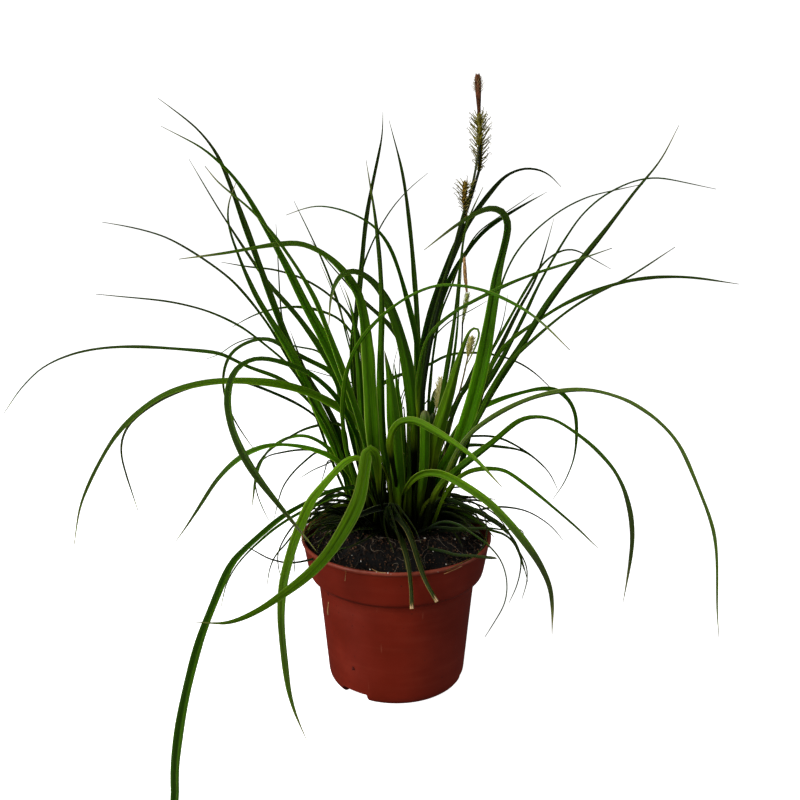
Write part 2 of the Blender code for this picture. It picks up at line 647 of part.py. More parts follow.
def leaf_object(route):
    record = route.record
    line = route.places()
    half = 0.5 * blade_width(record, route.share)
    turn = np.radians(tapering(route.share, record.face))
    across, out = blade_axes(line, directions(line), turn)
    kept = stations(line, half)
    line, half, across, out = line[kept], half[kept], across[kept], out[kept]
    count = len(line) if record.cut else len(line) - 1
    rings = []
    for k in range(count):
        keel = BLADE_THICK + KEEL_SHARE * half[k]
        ring = np.array([
            line[k] + across[k] * half[k] + out[k] * keel * 0.5,
            line[k] - across[k] * half[k] + out[k] * keel * 0.5,
            line[k] - out[k] * keel * 0.5,
        ])
        if k == 0:
            ring[:, 2] = CROWN_Z + CLEARANCE
        on_crown = np.linalg.norm(ring[:, :2], axis=1) < CROWN_RADIUS + 4.0
        lowest = np.where(on_crown, CROWN_Z + CLEARANCE, FLOOR_REST_Z)
        ring[:, 2] = np.maximum(ring[:, 2], lowest)
        rings.append(ring)
    tip = None if record.cut else np.maximum(line[-1], [-1e9, -1e9, FLOOR_REST_Z + 0.2])
    return add_object("leaf_" + record.name, loft(rings, tip), record.tint)


def round_rings(line, radii, sides):
    """Rings round a line (mm), without twist."""
    ahead = directions(line)
    side = np.cross(ahead[0], [0.0, 1.0, 0.0])
    rings = []
    for point, forward, radius in zip(line, ahead, radii):
        side = side - forward * (side @ forward)
        side /= np.linalg.norm(side)
        other = np.cross(forward, side)
        turns = 2 * math.pi * np.arange(sides) / sides
        rings.append(point + radius * (np.cos(turns)[:, None] * side + np.sin(turns)[:, None] * other))
    return rings


def stalk_object(route, sides=6, count=14):
    record = route.record
    places = route.places()
    along = lengths_along(places)
    wanted = np.linspace(0, along[-1], count)
    if record.spike:
        start = along[-1] - record.spike[0]
        below = np.linspace(0, start, count - 6, endpoint=False)
        wanted = np.concatenate([below, np.linspace(start, along[-1], 6)])
    line = read_at(places, np.interp(wanted, along, np.arange(len(along))))
    rings = round_rings(line, stalk_radius(record, wanted), sides)
    rings[0][:, 2] = CROWN_Z + CLEARANCE
    return add_object(record.name, loft(rings), record.tint)


def spike_object(record, toward, sides=10):
    seen = np.array(record.seen, float)
    line = place_on_sight(seen[:, 0], seen[:, 1], toward + np.linspace(*record.beside, len(seen)))
    line = curve_through(line)
    line = read_at(line, np.linspace(0, len(line) - 1, len(record.radii)))
    return add_object(record.name, loft(round_rings(line, record.radii, sides)), record.tint)


# --- Pot and soil -----------------------------------------------------------------------------------------


def turned(profile, sides, tint, name):
    """A closed body turned from a profile of (radius, z) points in mm that starts and ends on the axis."""
    bm = bmesh.new()
    points = [bm.verts.new((radius * MM, 0.0, z * MM)) for radius, z in profile]
    edges = [bm.edges.new(pair) for pair in zip(points, points[1:])]
    bmesh.ops.spin(bm, geom=points + edges, cent=(0, 0, 0), axis=(0, 0, 1), angle=2 * math.pi, steps=sides)
    bmesh.ops.remove_doubles(bm, verts=bm.verts, dist=1e-6)
    return add_object(name, bm, tint)


def pot_profile():
    """Down the outside from the rim's lip to the foot, then back up the inside."""
    foot = []
    for k in range(5):
        turn = math.radians(90 * k / 4)
        radius = FOOT_RADIUS + (BODY_FOOT_RADIUS - FOOT_RADIUS) * math.sin(turn)
        foot.append((radius, FOOT_CURVE_Z * (1 - math.cos(turn))))
    shoulder = [
        (BODY_TOP_RADIUS, BODY_TOP_Z),
        (BODY_TOP_RADIUS + 1.0, BODY_TOP_Z + 1.3),
        (BODY_TOP_RADIUS + 3.6, BODY_TOP_Z + 3.0),
        (BODY_TOP_RADIUS + 5.3, BODY_TOP_Z + 5.0),
        (SHOULDER_RADIUS, BODY_TOP_Z + 8.2),
    ]
    lip = [
        (RIM_RADIUS - 1.2, POT_HEIGHT - 3.0),
        (RIM_RADIUS - 0.2, POT_HEIGHT - 2.2),
        (RIM_RADIUS, POT_HEIGHT - 1.0),
        (RIM_RADIUS - 0.5, POT_HEIGHT),
        (RIM_RADIUS - 1.6, POT_HEIGHT - 0.2),
        (RIM_RADIUS - 2.4, POT_HEIGHT - 3.2),
    ]
    inside = [(radius - WALL, z + 0.3 * WALL) for radius, z in shoulder[::-1]]
    inside.append((BODY_FOOT_RADIUS - WALL, FOOT_CURVE_Z + 1.0))
    inside.append((FOOT_RADIUS - 0.2, FLOOR_THICK))
    return [(0.0, 0.0)] + foot + shoulder + lip + inside + [(0.0, FLOOR_THICK)]


def make_pot():
    pot = turned(pot_profile(), POT_SIDES, "pot_plastic", "pot")
    for k in range(NOTCHES):
        bearing = NOTCH_BEARING + 2 * math.pi * k / NOTCHES
        out = np.array([math.cos(bearing), math.sin(bearing)])
        centre = out * (BODY_FOOT_RADIUS - 3.0)
        bpy.ops.mesh.primitive_cylinder_add(
            vertices=32, radius=NOTCH_RADIUS * MM, depth=14 * MM,
            location=(centre[0] * MM, centre[1] * MM, (NOTCH_HEIGHT - NOTCH_RADIUS) * MM),
            rotation=(0, math.pi / 2, bearing))
        cutter = bpy.context.active_object
        cutter.name = f"notch_cutter_{k + 1}"
        cutter.hide_render = True
        cutter.display_type = "WIRE"
        cut = pot.modifiers.new(f"drain_notch_{k + 1}", "BOOLEAN")
        cut.operation = "DIFFERENCE"
        cut.object = cutter
    return pot


def soil_height(radius):
    """The soil rises from the rim to the crown that the shoots grow from."""
    share = np.clip((SOIL_EDGE_RADIUS - radius) / (SOIL_EDGE_RADIUS - CROWN_RADIUS), 0, 1)
    return SOIL_EDGE_Z + (CROWN_Z - SOIL_EDGE_Z) * share * share * (3 - 2 * share)


def make_soil():
    inner = [(radius - WALL - CLEARANCE, z + 0.3 * WALL) for radius, z in (
        (BODY_TOP_RADIUS - 0.1, BODY_TOP_Z), (BODY_TOP_RADIUS + 2.6, BODY_TOP_Z + 4.0),
        (BODY_TOP_RADIUS + 4.9, BODY_TOP_Z + 5.8), (SHOULDER_RADIUS - 0.1, BODY_TOP_Z + 8.8))]
    below = [(0.0, FLOOR_THICK + CLEARANCE), (FOOT_RADIUS - 1.0, FLOOR_THICK + CLEARANCE),
             (BODY_FOOT_RADIUS - WALL - CLEARANCE, FOOT_CURVE_Z + 1.4)] + inner
    top = [(radius, soil_height(radius))
           for radius in (SOIL_EDGE_RADIUS, 51.0, 45.0, 39.0, 34.0, CROWN_RADIUS)]
    soil = turned(below + top + [(0.0, CROWN_Z)], SOIL_SIDES, "soil", "soil")
    for vertex in soil.data.vertices:
        radius = math.hypot(vertex.co.x, vertex.co.y) / MM
        if vertex.co.z / MM > SOIL_EDGE_Z + 0.2 and radius > CROWN_RADIUS + 1:
            bearing = math.atan2(vertex.co.y, vertex.co.x)
            ripple = math.sin(5 * bearing + radius * 0.3) * math.sin(3 * bearing + radius * 0.17)
            vertex.co.z += SOIL_RIPPLE * ripple * MM
    return soil


def main():
    for old in list(bpy.data.objects):
        bpy.data.objects.remove(old)
    make_pot()
    make_soil()
    records = LEAVES + STALKS
    roots = spread_roots(records)
    routes = [Route(record, root) for record, root in zip(records, roots)]
    left = ease_apart(routes)
    print(f"{len(routes)} leaves and stalks, nearest still {left:.2f} mm short of its space")
    stalks = {}
    for route in routes:
        if isinstance(route.record, Stalk):
            stalk_object(route)
            stalks[route.record.name] = route
        else:
            leaf_object(route)
    for spike in SPIKES:
        stalk = stalks[spike.stalk]
        stalks[spike.name] = stalk
        nearest = np.abs(stalk.seen[:, 1] - spike.seen[0][1]).argmin()
        spike_object(spike, stalk.toward[nearest])


main()
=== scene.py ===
# %% [markdown]
# A clump of ornamental sedge in flower, growing in a round plastic nursery pot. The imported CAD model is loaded
# first and never moved. Every leaf, stalk and flower spike of it is a plain solid: this lesson reads the line
# that each solid follows and grows a detailed blade or spike on the same line, so that nothing has to be fitted.

# %% Load the fixed frame
import json
import math
from itertools import permutations

import bpy
import numpy as np
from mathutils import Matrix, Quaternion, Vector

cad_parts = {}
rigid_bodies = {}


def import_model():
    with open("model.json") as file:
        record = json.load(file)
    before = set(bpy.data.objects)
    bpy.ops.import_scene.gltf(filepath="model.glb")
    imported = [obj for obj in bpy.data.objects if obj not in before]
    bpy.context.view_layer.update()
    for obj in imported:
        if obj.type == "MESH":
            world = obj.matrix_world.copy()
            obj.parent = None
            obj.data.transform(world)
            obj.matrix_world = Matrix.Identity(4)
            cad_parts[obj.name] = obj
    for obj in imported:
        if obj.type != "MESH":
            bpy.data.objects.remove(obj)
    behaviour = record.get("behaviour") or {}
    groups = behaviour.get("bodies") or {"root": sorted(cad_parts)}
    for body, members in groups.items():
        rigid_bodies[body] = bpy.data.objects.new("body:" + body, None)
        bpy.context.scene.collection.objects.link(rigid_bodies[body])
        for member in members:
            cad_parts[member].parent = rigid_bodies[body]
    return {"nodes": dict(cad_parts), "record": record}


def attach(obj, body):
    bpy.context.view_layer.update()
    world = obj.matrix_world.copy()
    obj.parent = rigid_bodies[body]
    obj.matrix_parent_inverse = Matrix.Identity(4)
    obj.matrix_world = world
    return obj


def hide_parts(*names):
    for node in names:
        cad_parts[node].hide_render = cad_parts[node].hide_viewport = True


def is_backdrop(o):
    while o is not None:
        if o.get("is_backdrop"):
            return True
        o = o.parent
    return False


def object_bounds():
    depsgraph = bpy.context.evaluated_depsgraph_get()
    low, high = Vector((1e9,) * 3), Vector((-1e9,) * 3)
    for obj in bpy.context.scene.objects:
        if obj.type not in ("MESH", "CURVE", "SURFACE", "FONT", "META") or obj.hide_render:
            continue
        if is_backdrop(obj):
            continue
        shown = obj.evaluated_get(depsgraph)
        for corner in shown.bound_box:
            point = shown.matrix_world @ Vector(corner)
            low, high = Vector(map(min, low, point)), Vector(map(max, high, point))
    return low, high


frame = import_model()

MM = 0.001
nodes = frame["nodes"]
slots = {part["node"]: part["material_slot"] for part in frame["record"]["subparts"]}
cad_low, cad_high = (np.array(corner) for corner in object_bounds())
print(len(nodes), "CAD nodes, box in mm", (cad_low / MM).round(1), (cad_high / MM).round(1))

# %% [markdown]
# The camera stands where the photographer stood: a little above the flower spikes, looking down 15 degrees.
# The same numbers give the line of sight through a point of the picture, which later places thin leaves that
# are too small to be solids of the CAD model.

# %% The camera, and the line of sight through a picture point
VIEWER = np.array([2.3, -620.0, 354.0])
VIEW_PITCH = math.radians(15.25)
FOCAL_LENGTH = 1050.0
PICTURE_CENTRE = 400.0
SIGHT = np.array([0.0, math.cos(VIEW_PITCH), -math.sin(VIEW_PITCH)])
SIGHT_UP = np.array([0.0, math.sin(VIEW_PITCH), math.cos(VIEW_PITCH)])

scene = bpy.context.scene
camera = bpy.data.objects.new("camera", bpy.data.cameras.new("camera"))
scene.collection.objects.link(camera)
scene.camera = camera
camera.location = VIEWER * MM
camera.rotation_euler = (math.pi / 2 - VIEW_PITCH, 0.0, 0.0)
camera.data.sensor_width = 36.0
camera.data.lens = 36.0 * FOCAL_LENGTH / (2 * PICTURE_CENTRE)
camera.data.clip_start = 0.01


def place_on_sight(u, v, toward):
    """The places (mm) seen at picture points u, v that stand toward mm in front of the pot's axis."""
    ray = SIGHT * FOCAL_LENGTH + SIGHT_UP * (PICTURE_CENTRE - np.asarray(v, float))[..., None]
    ray = ray + np.array([1.0, 0.0, 0.0]) * (np.asarray(u, float) - PICTURE_CENTRE)[..., None]
    depth = (-toward - VIEWER[1]) / ray[..., 1]
    return VIEWER + ray * depth[..., None]


print("camera lens", round(camera.data.lens, 2), "mm at", (VIEWER * MM).round(3))

# %% [markdown]
# A few helpers serve every piece. Operators act on all that is selected, so `select_only` comes before them.
# Numbers that a material reads, such as how old a leaf is, are stored on the vertices as attributes.

# %% Helpers for selecting, reading and finishing a piece
ops = bpy.ops
BOX_MARGIN = 0.05


def select_only(piece):
    for other in bpy.data.objects:
        other.select_set(False)
    piece.select_set(True)
    bpy.context.view_layer.objects.active = piece


def edit_all(piece):
    """Opens a piece in edit mode with all of its mesh selected."""
    select_only(piece)
    ops.object.mode_set(mode="EDIT")
    ops.mesh.select_all(action="SELECT")


def face_outwards(piece):
    """Turns all faces of a closed piece outwards, and ends in object mode."""
    edit_all(piece)
    ops.mesh.normals_make_consistent(inside=False)
    ops.object.mode_set(mode="OBJECT")


def corners_of(piece):
    return np.array([vertex.co for vertex in piece.data.vertices])


def faces_of(piece):
    return [tuple(face.vertices) for face in piece.data.polygons]


def set_places(piece, places_mm):
    """Moves a piece's vertices to places in mm, kept inside the CAD box."""
    inside = np.clip(places_mm * MM, cad_low + BOX_MARGIN * MM, cad_high - BOX_MARGIN * MM)
    piece.data.vertices.foreach_set("co", inside.astype(np.float32).ravel())
    piece.data.update()


def set_values(piece, label, values):
    """Stores one number for each vertex as an attribute."""
    attributes = piece.data.attributes
    attribute = attributes.get(label) or attributes.new(label, "FLOAT", "POINT")
    values = np.broadcast_to(values, len(piece.data.vertices))
    attribute.data.foreach_set("value", values.astype(np.float32))


def copy_of(model, name):
    """A copy with a mesh of its own."""
    piece = bpy.data.objects.new(name, model.data.copy())
    piece.data.name = name
    scene.collection.objects.link(piece)
    return piece


def hand_over(piece, material, replaced=None):
    """Gives a finished piece its material and its body, and hides the CAD node that it replaces."""
    piece.data.materials.clear()
    piece.data.materials.append(material)
    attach(piece, "root")
    if replaced:
        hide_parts(replaced)


print("helpers ready")

# %% [markdown]
# Colours are written as hex values, as a paint chart gives them, and turned to linear light by one function.
# One function adds a shader node. A socket is set by a number or a colour, or linked when it is given a node or
# one of a node's outputs. `paint` lays colours over the first colour of a material, as a painter would, and
# `finish_material` gives the surface its fine relief and its gloss.

# %% Colours and shader nodes


def linear(hex_colour):
    parts = [int(hex_colour[i:i + 2], 16) / 255 for i in (1, 3, 5)]
    return [c / 12.92 if c <= 0.04045 else ((c + 0.055) / 1.055) ** 2.4 for c in parts] + [1.0]


def add(tree, kind, sockets=None, stops=None, **settings):
    """Adds a shader node, with its settings, its sockets and, on a colour ramp, its stops."""
    node = tree.nodes.new("ShaderNode" + kind)
    for name, value in settings.items():
        setattr(node, name, value)
    for name, value in (sockets or {}).items():
        # A node that is given as a value stands for its first output that is in use.
        if isinstance(value, bpy.types.Node):
            value = next(output for output in value.outputs if output.enabled)
        if isinstance(value, bpy.types.NodeSocket):
            tree.links.new(value, node.inputs[name])
        else:
            node.inputs[name].default_value = linear(value) if isinstance(value, str) else value
    if stops:
        ramp = node.color_ramp.elements
        while len(ramp) < len(stops):
            ramp.new(0.5)
        for element, (position, colour) in zip(ramp, stops):
            element.position, element.color = position, linear(colour)
    return node


def new_material(name):
    """An empty material, with the tree to fill."""
    made = bpy.data.materials.new(name)
    made.use_nodes = True
    made.node_tree.nodes.clear()
    return made, made.node_tree


def paint(tree, body, *layers):
    """Lays colours over a colour. The share of each follows a value from low to high."""
    for value, low, high, share_at_low, share_at_high, colour in layers:
        share = add(tree, "MapRange", {0: value, 1: low, 2: high, 3: share_at_low, 4: share_at_high})
        body = add(tree, "Mix", {0: share, 6: body, 7: colour}, data_type="RGBA")
    return body


def finish_material(made, relief, strength, depth, settings):
    """Adds the shader with its relief, depth metres deep, and its settings."""
    tree = made.node_tree
    bump = add(tree, "Bump", {"Strength": strength, "Distance": depth, **relief})
    shader = add(tree, "BsdfPrincipled", {"Normal": bump, **settings})
    add(tree, "OutputMaterial", {0: shader})
    return made


print("white is", linear("#FFFFFF")[:3], "and mid grey", [round(c, 3) for c in linear("#808080")[:3]])

# %% [markdown]
# A sedge blade is green for most of its length, painted nearly black where it comes out of the soil, as shade, and
# dry and grey at its tip. Light veins run along it, the keel in its middle is painted dark as the shade in its
# groove, and its back is duller. A pattern on the blade's own UV map does this best: U runs across the blade and V
# from root to tip, so veins bend with the blade. The attributes are `from_base`, the distance from the root in mm,
# `variety`, from the darkest to the lightest green, `aged`, how dull the outer half has become, `crowd`, how much
# the leaves around it take its light, which is painted as shade, and `upper`, 1 on the face and 0 on the back.

# %% The leaf material, made once for each tint
LEAF_TINTS = {
    # slot: dark and light side of its green, veins and margins, dry tip
    "mid_leaf": ("#1C3E00", "#437802", "#86A63A", "#6E6A48"),
    "lime_leaf": ("#356200", "#74A80A", "#B4CC62", "#7E7A4C"),
    "deep_leaf": ("#0E1E00", "#2A4A04", "#5A7628", "#4A4A3C"),
    "olive_leaf": ("#243600", "#5A7206", "#98A040", "#7C7448"),
}


def leaf_material(name, tint, margin=0.55, dry_from=0.91, low="#5C6C0A", low_to=66.0, crowding=0.9):
    """Live sedge blade: waxy, ribbed along its veins, with a satin gloss.

    margin: how pale its edges are. dry_from: where its tip is dry. low: the colour of its sheath, up to low_to mm;
    a look may set it dark, as painted shade. crowding: how strongly it is painted dark where it is crowded.
    """
    dark, light, keel, dry = tint
    made, tree = new_material(name)
    variety, from_base, upper, aged, crowd = (
        add(tree, "Attribute", attribute_name=label).outputs["Fac"]
        for label in ("variety", "from_base", "upper", "aged", "crowd"))
    across, along, _ = add(tree, "SeparateXYZ", {0: add(tree, "UVMap", uv_map="UVMap")}).outputs
    # Streaks follow the blade: 5 across it, and long ones along it.
    wide = add(tree, "Math", {0: across, 1: 5.0}, operation="MULTIPLY")
    long = add(tree, "Math", {0: along, 1: 3.0}, operation="MULTIPLY")
    seed = add(tree, "Math", {0: variety, 1: 37.0}, operation="MULTIPLY")
    streak_place = add(tree, "CombineXYZ", {0: wide, 1: long, 2: seed})
    streaks = add(tree, "TexNoise", {"Vector": streak_place, "Scale": 1.6, "Detail": 4.0, "Roughness": 0.6})
    body = add(tree, "ValToRGB", {0: streaks}, stops=[(0.3, dark), (0.68, light)])
    # Veins stand 0.4 mm apart on the real blade; 9 across the blade is as fine as the picture can show. The keel
    # is painted darker, as the shade in its groove. One half of the blade is painted darker too, as painted shade.
    wave = add(tree, "Math", {0: across, 1: 56.5}, operation="MULTIPLY")
    vein = add(tree, "Math", {0: wave}, operation="SINE")
    off = add(tree, "Math", {0: across, 1: 0.5}, operation="SUBTRACT")
    off = add(tree, "Math", {0: off}, operation="ABSOLUTE")
    body = paint(tree, body, (vein, 0.2, 1.0, 0.0, 0.1, keel), (off, 0.02, 0.1, 0.5, 0.0, dark),
                 (across, 0.5, 0.56, 0.0, 0.55, dark), (off, 0.43, 0.485, 0.0, margin, keel),
                 (upper, 0.0, 1.0, 0.25, 0.0, "#2C4A08"))
    # No two blades are the same green. The lightness also carries painted light and shade, where a table gives it.
    value = add(tree, "MapRange", {0: variety, 1: 0.0, 2: 1.0, 3: 0.2, 4: 1.8})
    hue = add(tree, "MapRange", {0: streaks, 1: 0.3, 2: 0.7, 3: 0.485, 4: 0.505})
    body = add(tree, "HueSaturation", {"Hue": hue, "Value": value, "Color": body})
    # The outer half of an old blade is a duller, browner green. Its tip is dry and grey-brown, ragged where it
    # meets the green. Low down it is an olive sheath, and next to the soil it is painted nearly black, as the
    # shade at the foot of the clump. Inside the clump little light is left between the leaves: that is painted
    # shade too.
    ragged = add(tree, "MapRange", {0: streaks, 1: 0.2, 2: 0.8, 3: -0.06, 4: 0.06})
    dryness = add(tree, "Math", {0: along, 1: ragged}, operation="ADD")
    body = paint(tree, body, (along, 0.38, 0.78, 0.0, aged, "#22260F"), (dryness, dry_from, 1.0, 0.0, 0.8, dry),
                 (from_base, 24.0, low_to, 0.72, 0.0, low), (from_base, 14.0, 40.0, 0.97, 0.0, "#040602"),
                 (crowd, 0.0, 1.0 / crowding, 0.0, 1.0, "#020401"))
    gloss = add(tree, "MapRange", {0: streaks, 1: 0.3, 2: 0.7, 3: 0.36, 4: 0.52})
    return finish_material(made, {"Height": vein}, 0.25, 0.0001, {
        "Base Color": body, "Roughness": gloss, "IOR": 1.3, "Specular IOR Level": 0.05,
        "Subsurface Weight": 0.3, "Subsurface Scale": 0.0015, "Subsurface Radius": (0.5, 0.9, 0.05)})


leaf_materials = {slot: leaf_material("sedge_" + slot, tint) for slot, tint in LEAF_TINTS.items()}
print("leaf materials:", ", ".join(material.name for material in leaf_materials.values()))

# %% [markdown]
# One blade is modelled as a flat strip: a grid of 8 by 72 faces that already has the UV map, given a
# thickness by one extrude. Its rim is closed, so it is a real shell and casts a real shadow. Every leaf is a
# copy of this strip that is wrapped on its own line.

# %% The flat strip that every blade is copied from


def thick_grid(name, across, along, thickness, with_uvs):
    """A flat strip of faces with a thickness given by one extrude."""
    ops.mesh.primitive_grid_add(x_subdivisions=across, y_subdivisions=along, size=1.0, calc_uvs=with_uvs)
    piece = bpy.context.active_object
    piece.name = name
    edit_all(piece)
    ops.mesh.extrude_region_move(TRANSFORM_OT_translate={"value": (0, 0, thickness)})
    face_outwards(piece)
    return piece


strip = thick_grid("blade_strip", 8, 72, 1.0, True)
strip.data.shade_smooth()
strip.data.uv_layers[0].name = "UVMap"
strip_places = corners_of(strip)
across_strip = 2.0 * strip_places[:, 0]
along_strip = strip_places[:, 1] + 0.5
on_upper = strip_places[:, 2] - strip_places[:, 2].min() > 0.5
set_values(strip, "upper", on_upper)
print("strip:", len(strip.data.polygons), "faces,", int(on_upper.sum()), "vertices on its upper side")

# %% [markdown]
# A blade is wrapped on a line by arithmetic, because no modifier bends a strip along a path and folds it about
# its keel at the same time. Seen from its end, a sedge blade is a shallow gutter: lowest at the keel and rising
# to both margins, with the margins bent down a little. The fold is deeper at the base, where the blade clasps
# its neighbours, and the whole blade is a quarter of a millimetre thick.

# %% Wrapping a blade on its line
rng = np.random.default_rng(4)
BLADE_THICK = 0.26
WIDTH_STOPS = (0.1, 0.3, 0.5, 0.7, 0.9)
# The base of a blade is painted dark, as shade, until the first of these on the from_base scale.
SHADED_BASE_END, SHEATH_END = 14.0, 62.0
SHEATH, LIT_SHEATH = 22.0, 60.0
CROWD_CENTRE, CROWD_RADIUS = (-3.0, -3.0), 29.0
CROWD_TOP, CROWD_DEPTH = 196.0, 72.0


def lengths_along(points):
    return np.concatenate([[0.0], np.cumsum(np.linalg.norm(np.diff(points, axis=0), axis=1))])


def unit(vectors):
    return vectors / np.maximum(np.linalg.norm(vectors, axis=-1, keepdims=True), 1e-9)


def read(values, share):
    """Reads rows of values that are spread evenly from 0 to 1."""
    at = np.linspace(0.0, 1.0, len(values))
    return np.stack([np.interp(share, at, column) for column in values.reshape(len(values), -1).T], -1)


def wrapped_blade(name, line, half, across, out, variety, aged=0.5, wider=1.0, shaded=14.0):
    """A blade on a line (mm, evenly spaced) with its half width, across and upper-side directions.

    wider: a factor on the width, or one for each place in WIDTH_STOPS. shaded: how many mm of its base are painted
    dark, as shade.
    """
    piece = copy_of(strip, name)
    length = lengths_along(line)[-1]
    s, t = along_strip, np.abs(across_strip)
    middle, side, up = read(line, s), unit(read(across, s)), unit(read(out, s))
    width = read(half, s)[:, 0] * np.interp(s, WIDTH_STOPS, np.broadcast_to(wider, len(WIDTH_STOPS)))
    keel = (0.5 + 0.5 * width) * (1.0 + 0.8 * np.exp(-s * length / 25.0))
    rise = keel * (1.5 * t - 0.72 * t * t) - 0.5 * keel
    # The margins wander a little, as they do on anything that has grown.
    ripple = 0.10 * width * np.sin(s * length / 7.0 + 5.0 * variety) * across_strip * t
    thick = BLADE_THICK * (1.0 - 0.55 * t * t) * np.clip((1.0 - s) / 0.06, 0.25, 1.0)
    places = middle + side * (across_strip * width)[:, None]
    places += up * (rise + ripple - np.where(on_upper, 0.0, thick))[:, None]
    set_places(piece, places)
    # A blade that leans out into the light keeps the olive of its sheath further up, as painted light.
    sheath = SHEATH if shaded > 0 else LIT_SHEATH
    from_base = np.interp(s * length, [shaded - SHADED_BASE_END, shaded, shaded + sheath, 1000.0],
                          [0.0, SHADED_BASE_END, SHEATH_END, 1002.0])
    # Crowded is what stands low and near the middle; the material paints it darker, as painted shade.
    off_middle = np.linalg.norm(places[:, :2] - CROWD_CENTRE, axis=1) / CROWD_RADIUS
    crowd = np.clip((CROWD_TOP - places[:, 2]) / CROWD_DEPTH, 0.0, 1.0) * np.exp(-off_middle ** 2)
    for label, values in (("from_base", from_base), ("variety", variety), ("aged", aged), ("crowd", crowd)):
        set_values(piece, label, values)
    return piece


print("a blade is", BLADE_THICK, "mm thick, and its fold is", 0.5 + 0.5 * 3.0, "mm deep where it is 6 mm wide")

# %% [markdown]
# The CAD leaf is a chain of triangles: two margins and a keel at each station, from the root to one point at the
# tip. Its mesh is loose triangles, so its corners are first merged by place. The root's three corners are known,
# because they stand on the crown, and each next station is what is joined to the last one. The two corners that
# are furthest apart are the margins. A smooth curve through the stations gives the line.

# %% Reading a line from a CAD solid
CROWN_Z, CROWN_RADIUS = 104.3, 34.0
ROOT_DEPTH = 3.0


def chain(name, first, most):
    """A CAD node's corners (mm), and its stations as lists of corner numbers, from the first one outwards."""
    mesh = nodes[name].data
    corners, index = np.unique((corners_of(nodes[name]) / MM).round(3), axis=0, return_inverse=True)
    joined = [set() for _ in corners]
    for edge in mesh.edges:
        a, b = index.ravel()[list(edge.vertices)]
        joined[a].add(b)
        joined[b].add(a)
    station = set(np.argsort(first(corners))[:most].tolist())
    seen, found = set(station), [sorted(station)]
    while True:
        station = {n for corner in station for n in joined[corner]} - seen
        if not station:
            return corners, found
        seen |= station
        found.append(sorted(station))


def on_crown(corners):
    """Ranks corners by how close they stand to the crown's level, within the crown."""
    far = np.hypot(corners[:, 0], corners[:, 1]) > CROWN_RADIUS
    return np.abs(corners[:, 2] - CROWN_Z) + 1000.0 * far


def smooth_curve(points, count=24):
    """A centripetal Catmull-Rom curve through the points."""
    points = np.asarray(points, float)
    ends = np.vstack([2 * points[0] - points[1], points, 2 * points[-1] - points[-2]])
    knots = np.concatenate([[0.0], np.cumsum(np.sqrt(np.linalg.norm(np.diff(ends, axis=0), axis=1)) + 1e-6)])
    parts = []
    for i in range(1, len(ends) - 2):
        t = np.linspace(knots[i], knots[i + 1], count, endpoint=False)[:, None]
        k, p = knots[i - 1:i + 3], ends[i - 1:i + 3]
        first = [(p[j] * (k[j + 1] - t) + p[j + 1] * (t - k[j])) / (k[j + 1] - k[j]) for j in range(3)]
        second = [(first[j] * (k[j + 2] - t) + first[j + 1] * (t - k[j])) / (k[j + 2] - k[j]) for j in range(2)]
        parts.append((second[0] * (k[2] - t) + second[1] * (t - k[1])) / (k[2] - k[1]))
    return np.vstack(parts + [points[-1:]])


def evenly(line, *others, count=220):
    """Resamples a line, and values that go with it, at even distances."""
    along = lengths_along(line)
    wanted = np.linspace(0.0, along[-1], count)
    return [np.stack([np.interp(wanted, along, column) for column in values.reshape(len(values), -1).T], -1)
            for values in (line, *others)]


def rooted(line, *others):
    """Draws the root of a line into the soil, and spreads the line and its values evenly."""
    below = line[:1] - [[0.0, 0.0, ROOT_DEPTH]]
    return evenly(np.vstack([below, line]), *(np.concatenate([values[:1], values]) for values in others))


def leaf_line(name):
    """The line, half width, across and upper-side directions that a CAD leaf was made from."""
    corners, found = chain(name, on_crown, 3)
    rings = [corners[station] for station in found if len(station) == 3]
    first = rings[0]
    spans = [np.linalg.norm(first[(k + 1) % 3] - first[(k + 2) % 3]) for k in range(3)]
    keel = int(np.argmax(spans))
    ordered = [first[[(keel + 1) % 3, (keel + 2) % 3, keel]]]
    for ring in rings[1:]:
        last = ordered[-1] - ordered[-1].mean(axis=0)
        offsets = ring - ring.mean(axis=0)
        best = min(permutations(range(3)), key=lambda p: np.sum((offsets[list(p)] - last) ** 2))
        ordered.append(ring[list(best)])
    left, right, keels = np.array(ordered).transpose(1, 0, 2)
    half_span = 0.5 * (left - right)
    half = np.linalg.norm(half_span, axis=1)
    lift = 0.5 * (left + right) - keels
    middle = keels + 0.5 * lift
    # The root's ring is cut level with the crown, so its upper side is taken from the next one.
    lift[0] = lift[1]
    tip = [corners[station[0]] for station in found[1:] if len(station) == 1]
    if tip:
        middle, half = np.vstack([middle, tip[:1]]), np.append(half, 0.0)
        half_span, lift = np.vstack([half_span, half_span[-1:]]), np.vstack([lift, lift[-1:]])
    line = smooth_curve(middle)
    share = np.linspace(0.0, 1.0, len(line))
    return rooted(line, *(read(values, share) for values in (half, unit(half_span), unit(lift))))


sample = leaf_line("leaf_front_2")
print("leaf_front_2 is", round(lengths_along(sample[0])[-1]), "mm long,", round(2 * sample[1].max(), 1), "mm wide")
